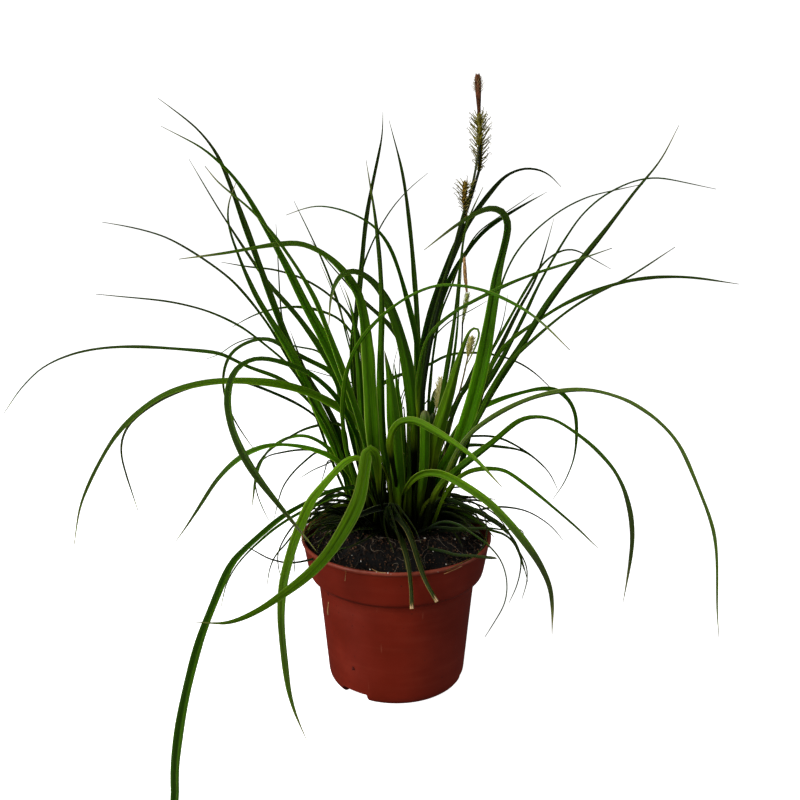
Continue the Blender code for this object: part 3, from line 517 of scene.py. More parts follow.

# %% [markdown]
# Each of the 49 CAD leaves is now replaced by a blade. The table gives each its own green, where 0 is the darkest
# of its tint and 1 the lightest, which also carries the painted light and shade that each blade gets, and how dull
# its outer half has become. The base of a blade is painted dark, as shade, as far up as its neighbours shade it:
# further on a blade that stands upright than on one that leans out into the light. The last five numbers are its
# width at five places from base to tip, as a share of the width of its CAD solid.

# %% The 49 blades of the CAD leaves
BLADES = """
centre_high_1 0.8 0.92 16.7 1.15 1.15 1.15 1.55 2.25
centre_high_2 0.43 0.72 6 0.9 0.96 0.96 1 1.35
centre_high_3 0.63 0.65 43.3 1.2 1.2 1.2 1.58 2.4
centre_high_4 0.15 0.09 69.9 1.1 1.2 1.43 1.47 0.99
centre_high_5 0.35 0.63 55.4 1.12 1.15 1.24 1.38 2.01
centre_high_6 0.5 0.67 40.2 1.1 1.2 1.42 1.8 0.83
centre_high_7 0.78 0.68 13.8 0.7 0.7 0.61 1.74 1.55
front_1 0.12 0.3 12 0.6 0.75 1.07 1.68 1.65
front_2 0.24 0.7 46 0.3 0.72 0.9 1.13 1.7
front_3 0.08 0.1 44 0.2 1.05 1.25 1.35 1.6
front_4 0.32 0.3 24 1.6 1.6 1.6 1.6 1.6
front_5 0.26 0.3 24 1.7 1.7 1.7 1.7 1.7
left_high_1 0.85 0.85 2 1.2 1.3 1.29 1.91 1.68
left_high_10 0.46 0.25 21.1 0.83 0.83 0.83 2.21 2.36
left_high_2 0.44 0.49 30.5 0.9 0.88 0.9 0.81 0.87
left_high_3 0.7 0.7 32.6 1.1 1.12 1.12 1.14 1.26
left_high_4 0.78 0.83 2 1.2 1.3 1.42 1.37 1.12
left_high_5 0.61 0.75 18.9 1.3 1.5 1.6 1.64 1.64
left_high_6 0.6 0.76 21.2 0.95 0.95 0.92 1.22 1.47
left_high_7 0.5 0.72 22 1.1 1.1 1 0.85 1.35
left_high_8 0.42 0.75 24.5 1.1 1.15 1.19 1.18 2.28
left_high_9 0.85 0.8 8 0.81 0.81 0.77 1.05 1.38
left_low_1 0.8 0.76 -4 0.83 0.78 1.05 1.43 1.17
left_low_2 0.24 0.8 -4 0.74 0.74 0.79 0.9 1.51
left_low_3 0.2 1 -8 0.69 0.6 1.37 1.31 2.36
left_low_4 1 0.9 -4 0.7 0.7 0.55 1.49 1.81
left_low_5 0.2 0.7 -6 0.61 0.61 0.66 1.39 2.25
left_low_6 1.68 0.78 -8 0.7 0.65 0.62 0.7 2.36
right_high_1 0.11 0.61 21.5 1.2 1.2 1.2 1.47 1.78
right_high_2 0.65 0.83 8 1.12 1.12 1.12 1.05 1.64
right_high_3 0.16 0 12.2 1.1 1.1 1.1 1.16 2.12
right_high_4 0.27 0.68 35.3 0.83 0.83 1 0.94 1.62
right_high_5 0.3 0.5 40.8 1.5 1.6 1.75 1.3 1
right_high_6 0.55 0.85 13.5 1.12 1.2 1.24 1.5 2
right_low_1 0.85 0.35 38.6 0.73 0.74 0.78 1.22 2.01
right_low_2 1.38 0.77 8.3 0.88 0.88 0.89 1.68 0.99
right_low_3 0.33 0.95 27.4 0.9 0.97 0.65 1.08 2.1
right_low_4 0.27 0.49 14.8 0.96 0.96 0.97 1.33 1.34
right_low_5 0.7 0.81 -2 0.8 0.8 1.13 1.25 1.65
right_low_6 0.2 0.02 62 0.25 0.5 0.85 1.3 1.9
right_low_7 0.3 0.97 34 0.2 0.74 0.76 1.16 1.65
right_wide_1 0.41 0.44 17.5 0.8 0.8 0.7 0.65 0.87
right_wide_2 0.29 0.11 15.1 0.97 0.97 0.74 0.64 1.1
right_wide_3 0.13 0.72 8 0.86 0.86 0.82 1.1 1.03
right_wide_4 0.7 0.74 2 0.77 0.77 0.87 1.27 1.33
right_wide_5 0.55 0.1 80 0.3 0.3 0.38 0.8 1.25
right_wide_6 0.61 0.73 20.2 0.87 0.87 0.92 0.86 1.37
right_wide_7 0.77 0.62 23.2 0.77 0.77 0.7 1.47 2.36
right_wide_8 0.3 0.18 18.6 0.7 0.6 0.6 0.59 1.53
"""  # name, lightness, dullness, mm of dark base, and the five widths
# short_look paints front_4 and front_5 nearly black, as painted shade. inner_look paints the lower part of two
# inner blades dark green up to 210 mm and darkens them twice as much where crowded, both as painted shade.
short_look = leaf_material("sedge_short_leaf", ("#030802", "#0C1C06", "#B0A058", "#DDB884"), 0.85, 0.96, "#0C1606")
inner_look = leaf_material("sedge_inner_leaf", ("#2A5800", "#66980A", "#B4CC62", "#7E7A4C"), low="#061C01",
                           low_to=210.0, crowding=2.0)
weathered = leaf_material("sedge_weathered_leaf", ("#222F0C", "#465424", "#868C60", "#84826E"))
OTHER_LOOKS = {"front_4": short_look, "front_5": short_look, "left_high_7": inner_look, "left_high_3": inner_look,
               "right_low_1": weathered, "right_wide_8": leaf_materials["mid_leaf"],
               "right_wide_5": leaf_materials["deep_leaf"]}
rows = [row.split() for row in BLADES.strip().splitlines()]
for label, *numbers in rows:
    lightness, aged, shaded, *wider = map(float, numbers)
    node = "leaf_" + label
    piece = wrapped_blade("blade_" + label, *leaf_line(node), lightness, aged, wider, shaded)
    hand_over(piece, OTHER_LOOKS.get(label, leaf_materials[slots[node]]), node)
print(len(rows), "blades of", len(strip.data.polygons), "faces each")

# %% [markdown]
# Between the leaves of the CAD model the clump has many thin ones, most of them one to three millimetres wide.
# They are given as picture points from the crown to the tip, with how far they stand in front of the pot's axis
# at their root, half way and tip. Their blades are copies of the same strip, so they are as closed and as
# detailed as the others.

# %% Drawing a thin leaf through picture points


def sight_line(root, half_reach, reach, seen):
    """A leaf's line (mm) from its root (x, toward) on the crown through picture points."""
    start = np.array([root[0], -root[1], CROWN_Z])
    offset = start - VIEWER
    depth = offset @ SIGHT
    start_seen = (PICTURE_CENTRE + FOCAL_LENGTH * offset[0] / depth,
                  PICTURE_CENTRE - FOCAL_LENGTH * (offset @ SIGHT_UP) / depth)
    picture, = evenly(smooth_curve([start_seen] + seen))
    # A running mean takes small kinks out of the line.
    kernel = np.exp(-0.5 * (np.arange(-12, 13) / 4.0) ** 2)
    kernel /= kernel.sum()
    padded = np.vstack([2 * picture[0] - picture[12:0:-1], picture, 2 * picture[-1] - picture[-2:-14:-1]])
    u, v = (np.convolve(column, kernel, "valid") for column in padded.T)
    # A curve through the three distances, so that the leaf leans steadily.
    share = np.linspace(0.0, 1.0, len(u))
    toward = (root[1] * (2 * share - 1) * (share - 1) + half_reach * 4 * share * (1 - share)
              + reach * share * (2 * share - 1))
    line = place_on_sight(u, v, toward)
    settle = np.clip(lengths_along(line) / 16.0, 0.0, 1.0)[:, None]
    return line + (1 - settle) * (start - line[0])


def blade_axes(line, turn):
    """Across and upper-side directions of a blade that is turned by an angle from facing the viewer."""
    ahead = unit(np.gradient(line, axis=0))
    flat = unit(np.cross(unit(line - VIEWER), ahead))
    for k in range(1, len(flat)):
        if flat[k] @ flat[k - 1] < 0:
            flat[k] *= -1
    across = unit(flat * math.cos(turn) + np.cross(ahead, flat) * math.sin(turn))
    out = np.cross(ahead, across)
    # The upper side looks up and to the middle of the clump.
    if (out * (np.array([0.0, 0.0, 0.7]) - 0.3 * unit(line))).sum() < 0:
        out = -out
    return across, out


def blade_width(wide, share, taper):
    """Widths of a blade: it widens at first, then tapers to a fine point or, with a taper of 0, ends rounded."""
    base = min(0.62 * wide, 3.8)
    rising = base + (wide - base) * np.clip(share / 0.28, 0, 1) ** 0.8
    if not taper:
        return rising * np.sqrt(1.0 - np.clip((share - 0.93) / 0.07, 0, 0.995) ** 2)
    return np.minimum(rising, wide * np.clip((1.0 - share) / taper, 0, 1) ** 0.8)


def thin_leaf(name, wide, line, turn, tint, variety, look=None, taper=0.62):
    line, = rooted(line)
    across, out = blade_axes(line, math.radians(turn))
    half = 0.5 * blade_width(wide, np.linspace(0, 1, len(line)), taper)
    aged = rng.uniform(0.3, 0.9) * (0.1 if "middle" in name or "short" in name else 1.0)
    hand_over(wrapped_blade(name, line, half, across, out, variety, aged), look or leaf_materials[tint])


print("the widest thin leaf has a half width of", float(blade_width(8.4, 0.4, 0.34)) / 2, "mm")

# %% [markdown]
# Most leaves that hang over the rim are old and dark, like those that lie on the soil, and are painted nearly
# black for the shade under the clump, so they get a material of their own: the thatch. A few leaves end less
# sharply than the others, or are lighter than chance makes them.

# %% The thin leaves between the others
THIN_LEAVES = """
high_1 2.4 -16,-8 -40 -75 40 deep 350,500 310,400 291,350 282,319 280,300 278,260 276,224
high_2 2.8 -4,-16 -50 -100 35 deep 372,500 358,420 354,350 357,290 362,269 369,250 379,229 392,208 410,188 \
    428,173
high_3 1.6 -12,-20 -60 -110 40 olive 362,420 352,350 343,319 330,285 320,262
high_4 1.8 -10,-22 -50 -80 40 deep 366,420 360,350 353,319 339,282
high_5 2.4 12,-17 -70 -140 40 deep 424,480 430,380 440,315 450,290 462,258 478,232 490,223 520,203 534,193
high_6 1.9 10,-12 -30 -55 45 deep 420,470 422,380 429,345 440,330 452,320 470,311 487,301
high_7 4.2 22,-8 -26 -50 25 deep 455,480 474,415 490,368 505,337 520,307 535,280 545,250 554,218
high_8 2.6 23,-12 -36 -62 30 deep 452,470 478,400 492,350 502,325 508,294
high_9 2.8 24,-4 -8 -14 40 deep 445,470 449,430 452,412 458,395 466,383 475,371
culm_bract 1.5 14,-6 1 3 20 deep 420,440 422,380 431,325 441,290 451,258 460,225 466,205.6 470.8,193.5 \
    473.4,181 475.9,169 477.4,158 478.4,147
middle_1 8.4 0,18 26 30 10 mid 400,510 396,450 393,410 390,380 386.5,360 384.5,350
middle_2 5.4 4,0 0 0 15 mid 404,500 401,450 399,410 397,385 394,362
middle_3 4 -12,8 20 30 15 mid 368,500 364,450 361,400 359,370 357,350 354,320 349,300 343,285
middle_4 2.8 -4,4 10 20 25 lime 380,470 377,420 375,385 374,355 371,335 367,310
middle_5 1.5 6,-8 -12 -16 30 deep 400,460 395,400 393,370 398,347
middle_6 2.6 7,-9 -12 -18 30 deep 402,460 400,402 404,390 408,378
middle_7 2.4 5,-10 -12 -18 30 deep 403,460 402,404 405,393 409,384
middle_8 2.4 3,-7 -10 -12 30 deep 399,440 398.4,385 399.5,368 400,350
middle_9 2.6 8,-6 -12 -14 30 deep 408,460 407,410 406,395 407,384
right_1 4 16,-20 -70 -125 45 deep 425,490 440,455 465,446 500,447 522,451 534,458 549,472
right_2 2 14,10 10 5 45 deep 430,505 455,512 480,510 495,507 519,509 531,513 543,520 553,528 563,540
right_3 2.8 12,14 24 30 40 deep 430,500 460,505 480,514 490,520 502,528 514,540 521,557 528,582
right_4 2.6 16,13 30 40 40 deep 440,500 470,508 498,525 510,535 518,548 521,562 517,585 509,603
right_5 2.2 20,12 28 44 40 olive 450,503 480,512 505,528 515,545 526,565 527,581 522,599
right_6 1.2 8,22 50 64 50 olive 425,530 440,522 455,523 470,532 488,545 500,559 506,575 507,591 504,605 \
    494,623 485,637
right_7 2 8,20 30 45 40 deep 430,528 460,529 488,528 505,530 520,529 524,533 523,538
right_8 2.2 3,22 38 48 40 olive 415,546 430,549 445,552 455,555 470,556 485,557.5 497,558.5
right_9 3.4 19,-6 -14 -26 20 mid 436,470 443,420 449,385 454,355 457,330 459,300 462,270
right_10 3 18,8 16 30 35 deep 440,505 470,517 490,530 503,534 512,541 518,552 524,570
right_11 1.2 14,16 30 58 30 olive 440,506 455,503 470,501 479,506 485,518 487,531 484,545 475,556 460,564 \
    444,572
left_1 3 -18,-8 -20 -30 45 deep 350,500 343,468 331,456 318,451 300,450 280,453 268,456 260,463 257,472
left_2 2.2 -17,-14 -60 -100 45 deep 345,440 335,380 320,352 303,348 280,343 258,337 244,340 232,345 220,354 \
    206,359
left_3 4.6 -16,-6 -25 -45 40 mid 350,430 332,372 322,367 292,352 270,339 258,339 244,344 232,352 226,363 \
    223,379 225,397 234,419 250,444 257,453
left_4 1.6 -4,-14 -40 -60 40 deep 385,460 378,400 370,391 350,382 330,376 303,368
left_5 2.6 -17,3 -5 -12 45 deep 350,470 341,424 321,425 303,430 290,437 270,450 259,462 255,472 256,490 \
    262,507 269,521
left_6 2.4 -20,0 0 4 45 deep 345,480 330,455 320,451 303,463 292,474 283,487 278,502 274,519
left_7 1.8 -20,-4 -8 -12 40 deep 350,480 335,461 325,465 313,470 300,478
left_8 1.8 -18,-2 -4 -2 40 deep 350,475 329,460 325,470 321,483
left_9 2.6 -8,16 30 34 45 deep 370,520 355,545 341,550 320,557 310,560 290,563 270,559 255,551 241,543
left_10 2.4 -20,4 20 30 40 deep 345,505 298,530 285,545 276,555 270,568 267,585
left_11 2 -22,6 16 22 40 deep 330,512 300,520 279,550 278,565 281,578
left_12 2 -19,8 20 26 40 deep 330,508 310,515 297,540 294,560 295,575
left_13 2.8 -18,12 36 62 40 mid 345,495 310,508 280,525 258,543 241,560 233,571 226,585 221,607
left_14 5 -19,-2 -4 -10 20 deep 352,478 340,436 327,408 316,390 306,372 297,350 290,330
fringe_1 2.6 -16,14 22 34 40 olive 357,487 345,488 335,492 325,497 315,507 306,516 296,527
fringe_2 2 -18,10 24 36 40 olive 350,497 335,497 325,502 314,512 306,525 303,537
fringe_3 1.8 -19,9 22 30 40 deep 352,503 338,503 328,508 318,517 308,530
fringe_4 2.2 -8,20 34 42 35 olive 362,515 352,519 340,517 325,519 310,524
fringe_5 1.5 -7,22 38 46 35 olive 380,528 371,529 360,529 352,532 345,536
fringe_6 1.6 -3,24 40 52 35 deep 385,530 375,534 365,540 350,547 340,549 333,556
fringe_7 0.9 -14,18 36 46 35 olive 352,516 341,522 330,530 322,540 317,550
fringe_8 1.2 14,12 14 20 35 olive 420,511 433,506 450,505 465,510 475,514 483,523
fringe_9 2.2 18,6 8 12 35 deep 430,503 450,499 470,502 485,508 497,516 508,530
fringe_10 2.6 20,7 12 20 35 deep 435,508 455,508 478,511 490,518 500,527 508,535
fringe_11 1.3 14,16 20 26 35 olive 425,515 440,512 452,513 462,519 472,528
fringe_12 1.2 15,17 26 34 35 olive 432,527 445,521 455,523 468,528 480,533
fringe_13 1.5 16,17 26 32 35 deep 430,534 445,531 460,531 475,530 487,529
fringe_14 1 -1,24 34 38 35 olive 386,512 396,519 404,527
fringe_15 1 1,24 40 44 35 olive 390,522 396,532 400,541
fringe_16 1.6 -3,25 44 56 30 deep 388,505 393,520 399,538 404,556 407,572
fringe_17 1.4 -1,25 44 56 30 deep 390,502 400,518 412,540 420,556 425,566
fringe_18 1.3 1,24 38 50 30 deep 394,503 406,516 416,531 421,543
fringe_19 1.2 -4,24 38 48 30 deep 386,506 384,522 388,538 394,552
short_1 4.4 -2,22 38 44 20 deep 395,508 380,508 370,511 352,518 341,521 310,525
short_2 5 -2,16 20 22 10 olive 394,505 390,485 385,470 380,462
short_3 6 13,11 17 20 10 mid 420,500 424,470 425,430 425,410
short_4 5.2 15,7 12 14 20 deep 424,500 430,470 433,432 433,413
short_5 1.8 12,-8 -16 -20 40 deep 424,460 421,410 429,398 433,368
"""  # name, width, root (x, toward), toward half way and at the tip, turn from facing the viewer, tint, points
# The thatch is painted nearly black: partly old leaves, partly the shade under the clump.
shaded_thatch = leaf_material("sedge_thatch_painted_shade", ("#020402", "#0C1408", "#6A7656", "#4A4A3C"), 0.8, low="#060A04")
IN_THATCH = ("right_2", "right_4", "right_5", "right_6", "right_7", "right_8", "right_11", "left_8", "left_9",
             "left_11", "left_12", "short_1")
TAPERS = {"right_8": 0, "short_3": 0, "short_4": 0, "culm_bract": 0, "middle_1": 0.34, "middle_2": 0.4,
          "middle_3": 0.4}
LIGHTNESS = {"middle_1": 0.62, "middle_2": 0.6, "short_3": 0.7, "short_4": 0.6, "short_2": 0.9}
rows = [row.split() for row in THIN_LEAVES.strip().splitlines()]
for name, wide, root, half_reach, reach, turn, tint, *seen in rows:
    root, *seen = ([float(c) for c in pair.split(",")] for pair in (root, *seen))
    line = sight_line(root, float(half_reach), float(reach), seen)
    look = shaded_thatch if name in IN_THATCH or name.startswith("fringe") else None
    any_lightness = rng.uniform(0.12, 0.5)
    thin_leaf("thin_leaf_" + name, float(wide), line, float(turn), tint + "_leaf",
              LIGHTNESS.get(name, any_lightness), look, TAPERS.get(name, 0.62))
print(len(rows), "thin leaves")

# %% [markdown]
# The photo doesn't show the heart of the clump or its back. A real clump is densest there: short young blades
# stand close together in the middle, and low ones hang over the back of the pot. They are drawn by rule, each
# from a root on the crown up and outwards on an arc, and placed where they leave the outline of the photo as it
# is.

# %% Young blades in the heart, and low blades at the back
YOUNG, FRINGE = 16, 132
FRINGE_FROM, FRINGE_TURN = -30.0, 240.0
GOLDEN_TURN = 2.4
BACK_BLADES = ((-16, 20, 98, 62, 105, 60), (-4, 24, 90, 74, 128, 84), (9, 23, 84, 56, 112, 66),
               (17, 18, 79, 68, 96, 58), (3, 25, 93, 44, 84, 52))  # x, y, bearing, height, spread, drop


def arc(root, bearing, height, spread, drop):
    """A line (mm) that rises from a root, leans out along a bearing and drops at its end."""
    rises = height * np.array([0, 0.45, 0.85, 1, 1, 1]) - drop * np.array([0, 0, 0, 0, 0.35, 1])
    spreads = spread * np.array([0, 0.08, 0.3, 0.55, 0.82, 1])
    points = np.stack([root[0] + math.cos(bearing) * spreads, root[1] + math.sin(bearing) * spreads,
                       CROWN_Z + rises], -1)
    return evenly(smooth_curve(points))[0]


def on_ring(distance, turn):
    """x and y at a distance and a turn about the pot's axis."""
    return distance * np.cos(turn), distance * np.sin(turn)


def rim_clearance(line):
    """The least height (mm) at which a low blade clears the soil and the pot's lip."""
    distance = np.hypot(line[:, 0], line[:, 1])
    return np.interp(distance, [0, 28, 44, 54, 57, 61, 62.5], [0, 0, 97.0, 95.5, 98.4, 98.4, 0])


for k in range(YOUNG):
    root = on_ring(4.0 + 18.0 * math.sqrt((k + 0.5) / YOUNG), GOLDEN_TURN * k)
    lean = math.atan2(root[1], root[0]) + rng.uniform(-0.5, 0.5)
    height = rng.uniform(38, 78)
    line = arc(root, lean, height, rng.uniform(5, 13), rng.uniform(0, 4))
    tint = ("deep_leaf", "mid_leaf", "olive_leaf")[k % 3]
    thin_leaf(f"young_blade_{k + 1}", rng.uniform(2.6, 4.4), line, rng.uniform(0, 80), tint, rng.uniform(0.0, 0.4))
for k, (x, y, bearing, height, spread, drop) in enumerate(BACK_BLADES):
    line = arc((x, y), math.radians(bearing), height, spread, drop)
    thin_leaf(f"back_blade_{k + 1}", 4.6, line, 20, "mid_leaf", 0.3)
for k in range(FRINGE):
    # Low and dark, all round the back and the sides: they hide the rim behind them.
    bearing = math.radians(FRINGE_FROM + FRINGE_TURN * (k + rng.uniform(0, 1)) / FRINGE)
    start = bearing + rng.uniform(-0.4, 0.4)
    root = on_ring(rng.uniform(16, 26), start)
    height = rng.uniform(3, 14) if k % 2 else rng.uniform(2, 8)
    line = arc(root, bearing + rng.uniform(-0.35, 0.35), height, rng.uniform(24, 46), rng.uniform(2, 12))
    line[:, 2] = np.maximum(line[:, 2], rim_clearance(line))
    tint = ("deep_leaf", "olive_leaf", "deep_leaf")[k % 3]
    thin_leaf(f"fringe_blade_{k + 1}", rng.uniform(1.4, 2.9), line, rng.uniform(15, 60), tint,
              rng.uniform(0.05, 0.5), shaded_thatch)
print(YOUNG + len(BACK_BLADES) + FRINGE, "young and low blades")

# %% [markdown]
# The flower stalks are stiff and round to three-sided, thinner than a knitting needle. One stalk is modelled as
# an eight-sided rod that is finely subdivided, so that it bends without a kink, and each real stalk is a copy
# that is wrapped on its CAD line in the same way as a blade.

# %% The rod that every stalk is copied from


def round_rod(name, sides, cuts, only_upright=False):
    """An upright closed rod, 1 high and 1 in radius, with cuts in all of its edges or only in the upright ones."""
    ops.mesh.primitive_cylinder_add(vertices=sides, radius=1.0, depth=1.0, end_fill_type="NGON",
                                    location=(0, 0, 0.5))
    piece = bpy.context.active_object
    piece.name = name
    select_only(piece)
    ops.object.transform_apply(location=True)
    edit_all(piece)
    ops.mesh.select_mode(type="EDGE")
    if only_upright:
        ops.mesh.select_all(action="DESELECT")
        ops.object.mode_set(mode="OBJECT")
        for edge in piece.data.edges:
            low, high = sorted(piece.data.vertices[corner].co.z for corner in edge.vertices)
            edge.select = high - low > 0.5
        ops.object.mode_set(mode="EDIT")
    ops.mesh.subdivide(number_cuts=cuts)
    face_outwards(piece)
    return piece


def round_axes(line):
    """Two directions square to a line that turn with it without twist."""
    ahead = unit(np.gradient(line, axis=0))
    side = np.cross(ahead[0], [0.0, 1.0, 0.0])
    sides = []
    for forward in ahead:
        side = side - forward * (side @ forward)
        side = side / np.linalg.norm(side)
        sides.append(side)
    return np.array(sides), np.cross(ahead, sides)


def round_form(form, line, radii, flatness=1.0):
    """The places (mm) of an upright rod's corners when it is wrapped on a line with its radii."""
    one, other = round_axes(line)
    s = np.clip(form[:, 2], 0, 1)
    radius = read(np.asarray(radii, float), s)
    return (read(line, s) + unit(read(one, s)) * form[:, :1] * radius
            + unit(read(other, s)) * form[:, 1:2] * radius * flatness)


def wrapped_rod(name, line, radii):
    """A rod on a line (mm, evenly spaced) with its radii."""
    piece = copy_of(rod, name)
    set_places(piece, round_form(rod_form, line, radii))
    set_values(piece, "from_base", np.clip(rod_form[:, 2], 0, 1) * lengths_along(line)[-1])
    return piece


rod = round_rod("stalk_rod", 8, 47)
rod.data.shade_smooth()
rod_form = corners_of(rod)
print("rod:", len(rod.data.polygons), "faces")

# %% [markdown]
# A stalk and a spike of the CAD model are rods with rings of 6 and 10 corners. The middle of each ring gives
# the line, and the distance of its corners gives the radius.

# %% Reading the lines of stalks and spikes


def rod_line(name, sides):
    """The line and radii (mm) of a round CAD solid, from its root or lower end."""
    first = on_crown if sides == 6 else (lambda corners: corners[:, 2])
    corners, found = chain(name, first, sides)
    rings = np.array([corners[station] for station in found if len(station) == sides])
    middle = rings.mean(axis=1)
    radii = np.linalg.norm(rings - middle[:, None], axis=2).mean(axis=1)
    line = smooth_curve(middle)
    return evenly(line, read(radii, np.linspace(0.0, 1.0, len(line))), count=160)


stalk_lines = {name: rod_line(name, 6) for name in ("flower_stalk_1", "flower_stalk_2", "flower_3", "flower_4")}
spike_lines = {name: rod_line(name, 10)
               for name in ("female_spike_1", "male_spike_1", "side_spike_1", "female_spike_2", "male_spike_2")}
for name, (line, radii) in (*stalk_lines.items(), *spike_lines.items()):
    print(name, "is", round(lengths_along(line)[-1]), "mm long, radius up to", round(float(radii.max()), 1), "mm")

# %% [markdown]
# The live stalk is smooth green going to olive, with fine ridges along it. A stalk in seed is dry straw. Object
# coordinates are enough here, because a noise stretched along Z follows a stalk that stands nearly upright. The
# scales are papery, with two attributes of their own: `shade`, set on each scale, and `end`, 1 at its tip.

# %% Materials of stalks and scales


def stem_material(name, low, dark, light, roughness):
    """Live or dry culm: fibrous, satin, darker at the soil."""
    made, tree = new_material(name)
    place = add(tree, "TexCoord").outputs["Object"]
    long = add(tree, "Mapping", {"Vector": place, "Scale": (1500.0, 1500.0, 90.0)})
    fibres = add(tree, "TexNoise", {"Vector": long, "Scale": 1.0, "Detail": 3.0})
    body = add(tree, "ValToRGB", {0: fibres}, stops=[(0.3, dark), (0.7, light)])
    from_base = add(tree, "Attribute", attribute_name="from_base").outputs["Fac"]
    body = paint(tree, body, (from_base, 5.0, 60.0, 0.85, 0.0, low))
    return finish_material(made, {"Height": fibres}, 0.3, 0.0001, {
        "Base Color": body, "Roughness": roughness, "IOR": 1.42, "Specular IOR Level": 0.08})


def scale_material(name, dark, light, tip, roughness=0.75):
    """Flower scales: dry, papery and matt, each scale paler at its edge."""
    made, tree = new_material(name)
    shade = add(tree, "Attribute", attribute_name="shade").outputs["Fac"]
    end = add(tree, "Attribute", attribute_name="end").outputs["Fac"]
    place = add(tree, "TexCoord").outputs["Object"]
    grain = add(tree, "TexNoise", {"Vector": place, "Scale": 1400.0, "Detail": 3.0})
    mixed = add(tree, "Math", {0: shade, 1: grain}, operation="ADD")
    mixed = add(tree, "MapRange", {0: mixed, 1: 0.45, 2: 1.5, 3: 0.0, 4: 1.0})
    body = add(tree, "ValToRGB", {0: mixed}, stops=[(0.1, dark), (0.9, light)])
    body = paint(tree, body, (end, 0.55, 1.0, 0.0, 0.8, tip))
    return finish_material(made, {"Height": grain}, 0.4, 0.0001, {
        "Base Color": body, "Roughness": roughness, "IOR": 1.45, "Specular IOR Level": 0.08})


green_stem = stem_material("sedge_culm_green", "#050802", "#0A1104", "#18240A", 0.6)
dry_stem = stem_material("sedge_culm_dry", "#14180A", "#3A3A1C", "#7E7044", 0.7)
olive_scales = scale_material("sedge_fruit_olive", "#443E06", "#7A7010", "#645A14")
olive_beaks = scale_material("sedge_fruit_beak", "#444010", "#8A843A", "#7A7066")
ochre_scales = scale_material("sedge_fruit_ochre", "#54400A", "#8E6A1C", "#7A6424")
red_scales = scale_material("sedge_scale_redbrown", "#1C0A05", "#6A3A26", "#6E5030")
straw_scales = scale_material("sedge_scale_straw", "#807A30", "#B0AA5C", "#CCC88E")
lit_scales = scale_material("sedge_scale_straw_lit", "#C2BC62", "#F2ECA4", "#FCF6D0")
pale_scales = scale_material("sedge_scale_pale_olive", "#5C6A22", "#A4AE5A", "#C6CA90")
tan_scales = scale_material("sedge_scale_tan", "#7A5830", "#B88C56", "#CDB48C")
anther_threads = scale_material("sedge_anther_olive", "#5A4A26", "#8E7E50", "#A8A070", 0.8)
print("materials of the flowers:", olive_scales.name, red_scales.name, straw_scales.name)

# %% [markdown]
# The two live stalks are drawn a quarter stouter than their CAD solids at the base, and thinner at the top. The
# two dry ones end in a swelling that scales will draw, so the stalk itself stays thin there.

# %% The four stalks
DRY_RADIUS = 0.62
for name, (line, radii) in stalk_lines.items():
    dry = name in ("flower_3", "flower_4")
    line, radii = rooted(line, np.minimum(radii, DRY_RADIUS) if dry else radii)
    girths = (1.0, 1.0, 0.92) if dry else (1.25, 1.2, 0.85)
    girth = np.interp(np.linspace(0, 1, len(radii)), (0.0, 0.66, 0.85), girths)
    piece = wrapped_rod("stalk_of_" + name, line, radii[:, 0] * girth)
    hand_over(piece, dry_stem if dry else green_stem, name)
print(len(stalk_lines), "stalks")

# %% [markdown]
# A spike is a core that is closed over by scales, with long threads between them. One scale is modelled from a
# small grid that is drawn out to a beak, and one thread from a three-sided rod, both with few faces because
# hundreds are needed. They are laid round the core in a spiral of 137.5 degrees, as plants do, and joined.

# %% One scale and one thread
scale = thick_grid("flower_scale", 2, 4, 0.1, False)
flat = corners_of(scale)
share = flat[:, 1] + 0.5
girth = np.interp(share, [0, 0.25, 0.5, 0.75, 1.0], [0.45, 1.0, 0.85, 0.4, 0.05])
arched = (flat[:, 2] - flat[:, 2].min()) * 0.8 + 0.25 * girth * (1 - 4 * flat[:, 0] ** 2)
scale_form, scale_faces = np.stack([flat[:, 0] * girth, arched, share], -1), faces_of(scale)
thread = round_rod("flower_thread", 3, 5, only_upright=True)
thread_form, thread_faces = corners_of(thread), faces_of(thread)


def joined(name, forms, faces, shades, ends):
    """One mesh of many copies of the same form: forms are arrays of places in mm."""
    count = len(forms[0])
    mesh = bpy.data.meshes.new(name)
    everything = np.concatenate(forms)
    polygons = [tuple(index + k * count for index in face) for k in range(len(forms)) for face in faces]
    mesh.from_pydata([(0, 0, 0)] * len(everything), [], polygons)
    piece = bpy.data.objects.new(name, mesh)
    scene.collection.objects.link(piece)
    set_places(piece, everything)
    set_values(piece, "shade", np.repeat(shades, count))
    set_values(piece, "end", np.tile(ends, len(forms)))
    face_outwards(piece)
    mesh.shade_smooth()
    return piece


print("a scale has", len(scale_faces), "faces and a thread", len(thread_faces))

# %% [markdown]
# The scales of a spike lean out from its axis and point up, so their roots stand a little lower than what is seen
# of them. Fruits are short and close, and their beaks long and spread. A thread leaves between two scales, runs
# outwards and up, and curls at its end. `core` and `reach` say where a scale or thread starts and ends, as shares
# of the spike's radius, and `bare` up to which share of its length the front is left open, so that the stalk
# shows.

# %% Laying scales and threads round a spike
GOLDEN = math.radians(137.5)


class Axis:
    """A spike's axis (mm), with its radii from base to tip."""

    def __init__(self, line, radii, lower):
        foot = line[:1] - lower * unit(line[1:2] - line[:1])
        line = np.vstack([foot, line])
        along = lengths_along(line)
        self.line, = evenly(line[along <= along[-1] - lower], count=160)
        self.radii = np.asarray(radii, float)
        self.one, self.other = round_axes(self.line)
        self.ahead = unit(np.gradient(self.line, axis=0))

    def at(self, s, turn):
        """Place, ways ahead, out and aside, and radius, at a share of its length and a turn about it."""
        one, other, ahead = (unit(read(values, [s]))[0] for values in (self.one, self.other, self.ahead))
        out = one * math.cos(turn) + other * math.sin(turn)
        return read(self.line, [s])[0], ahead, out, np.cross(ahead, out), float(read(self.radii, [s])[0, 0])


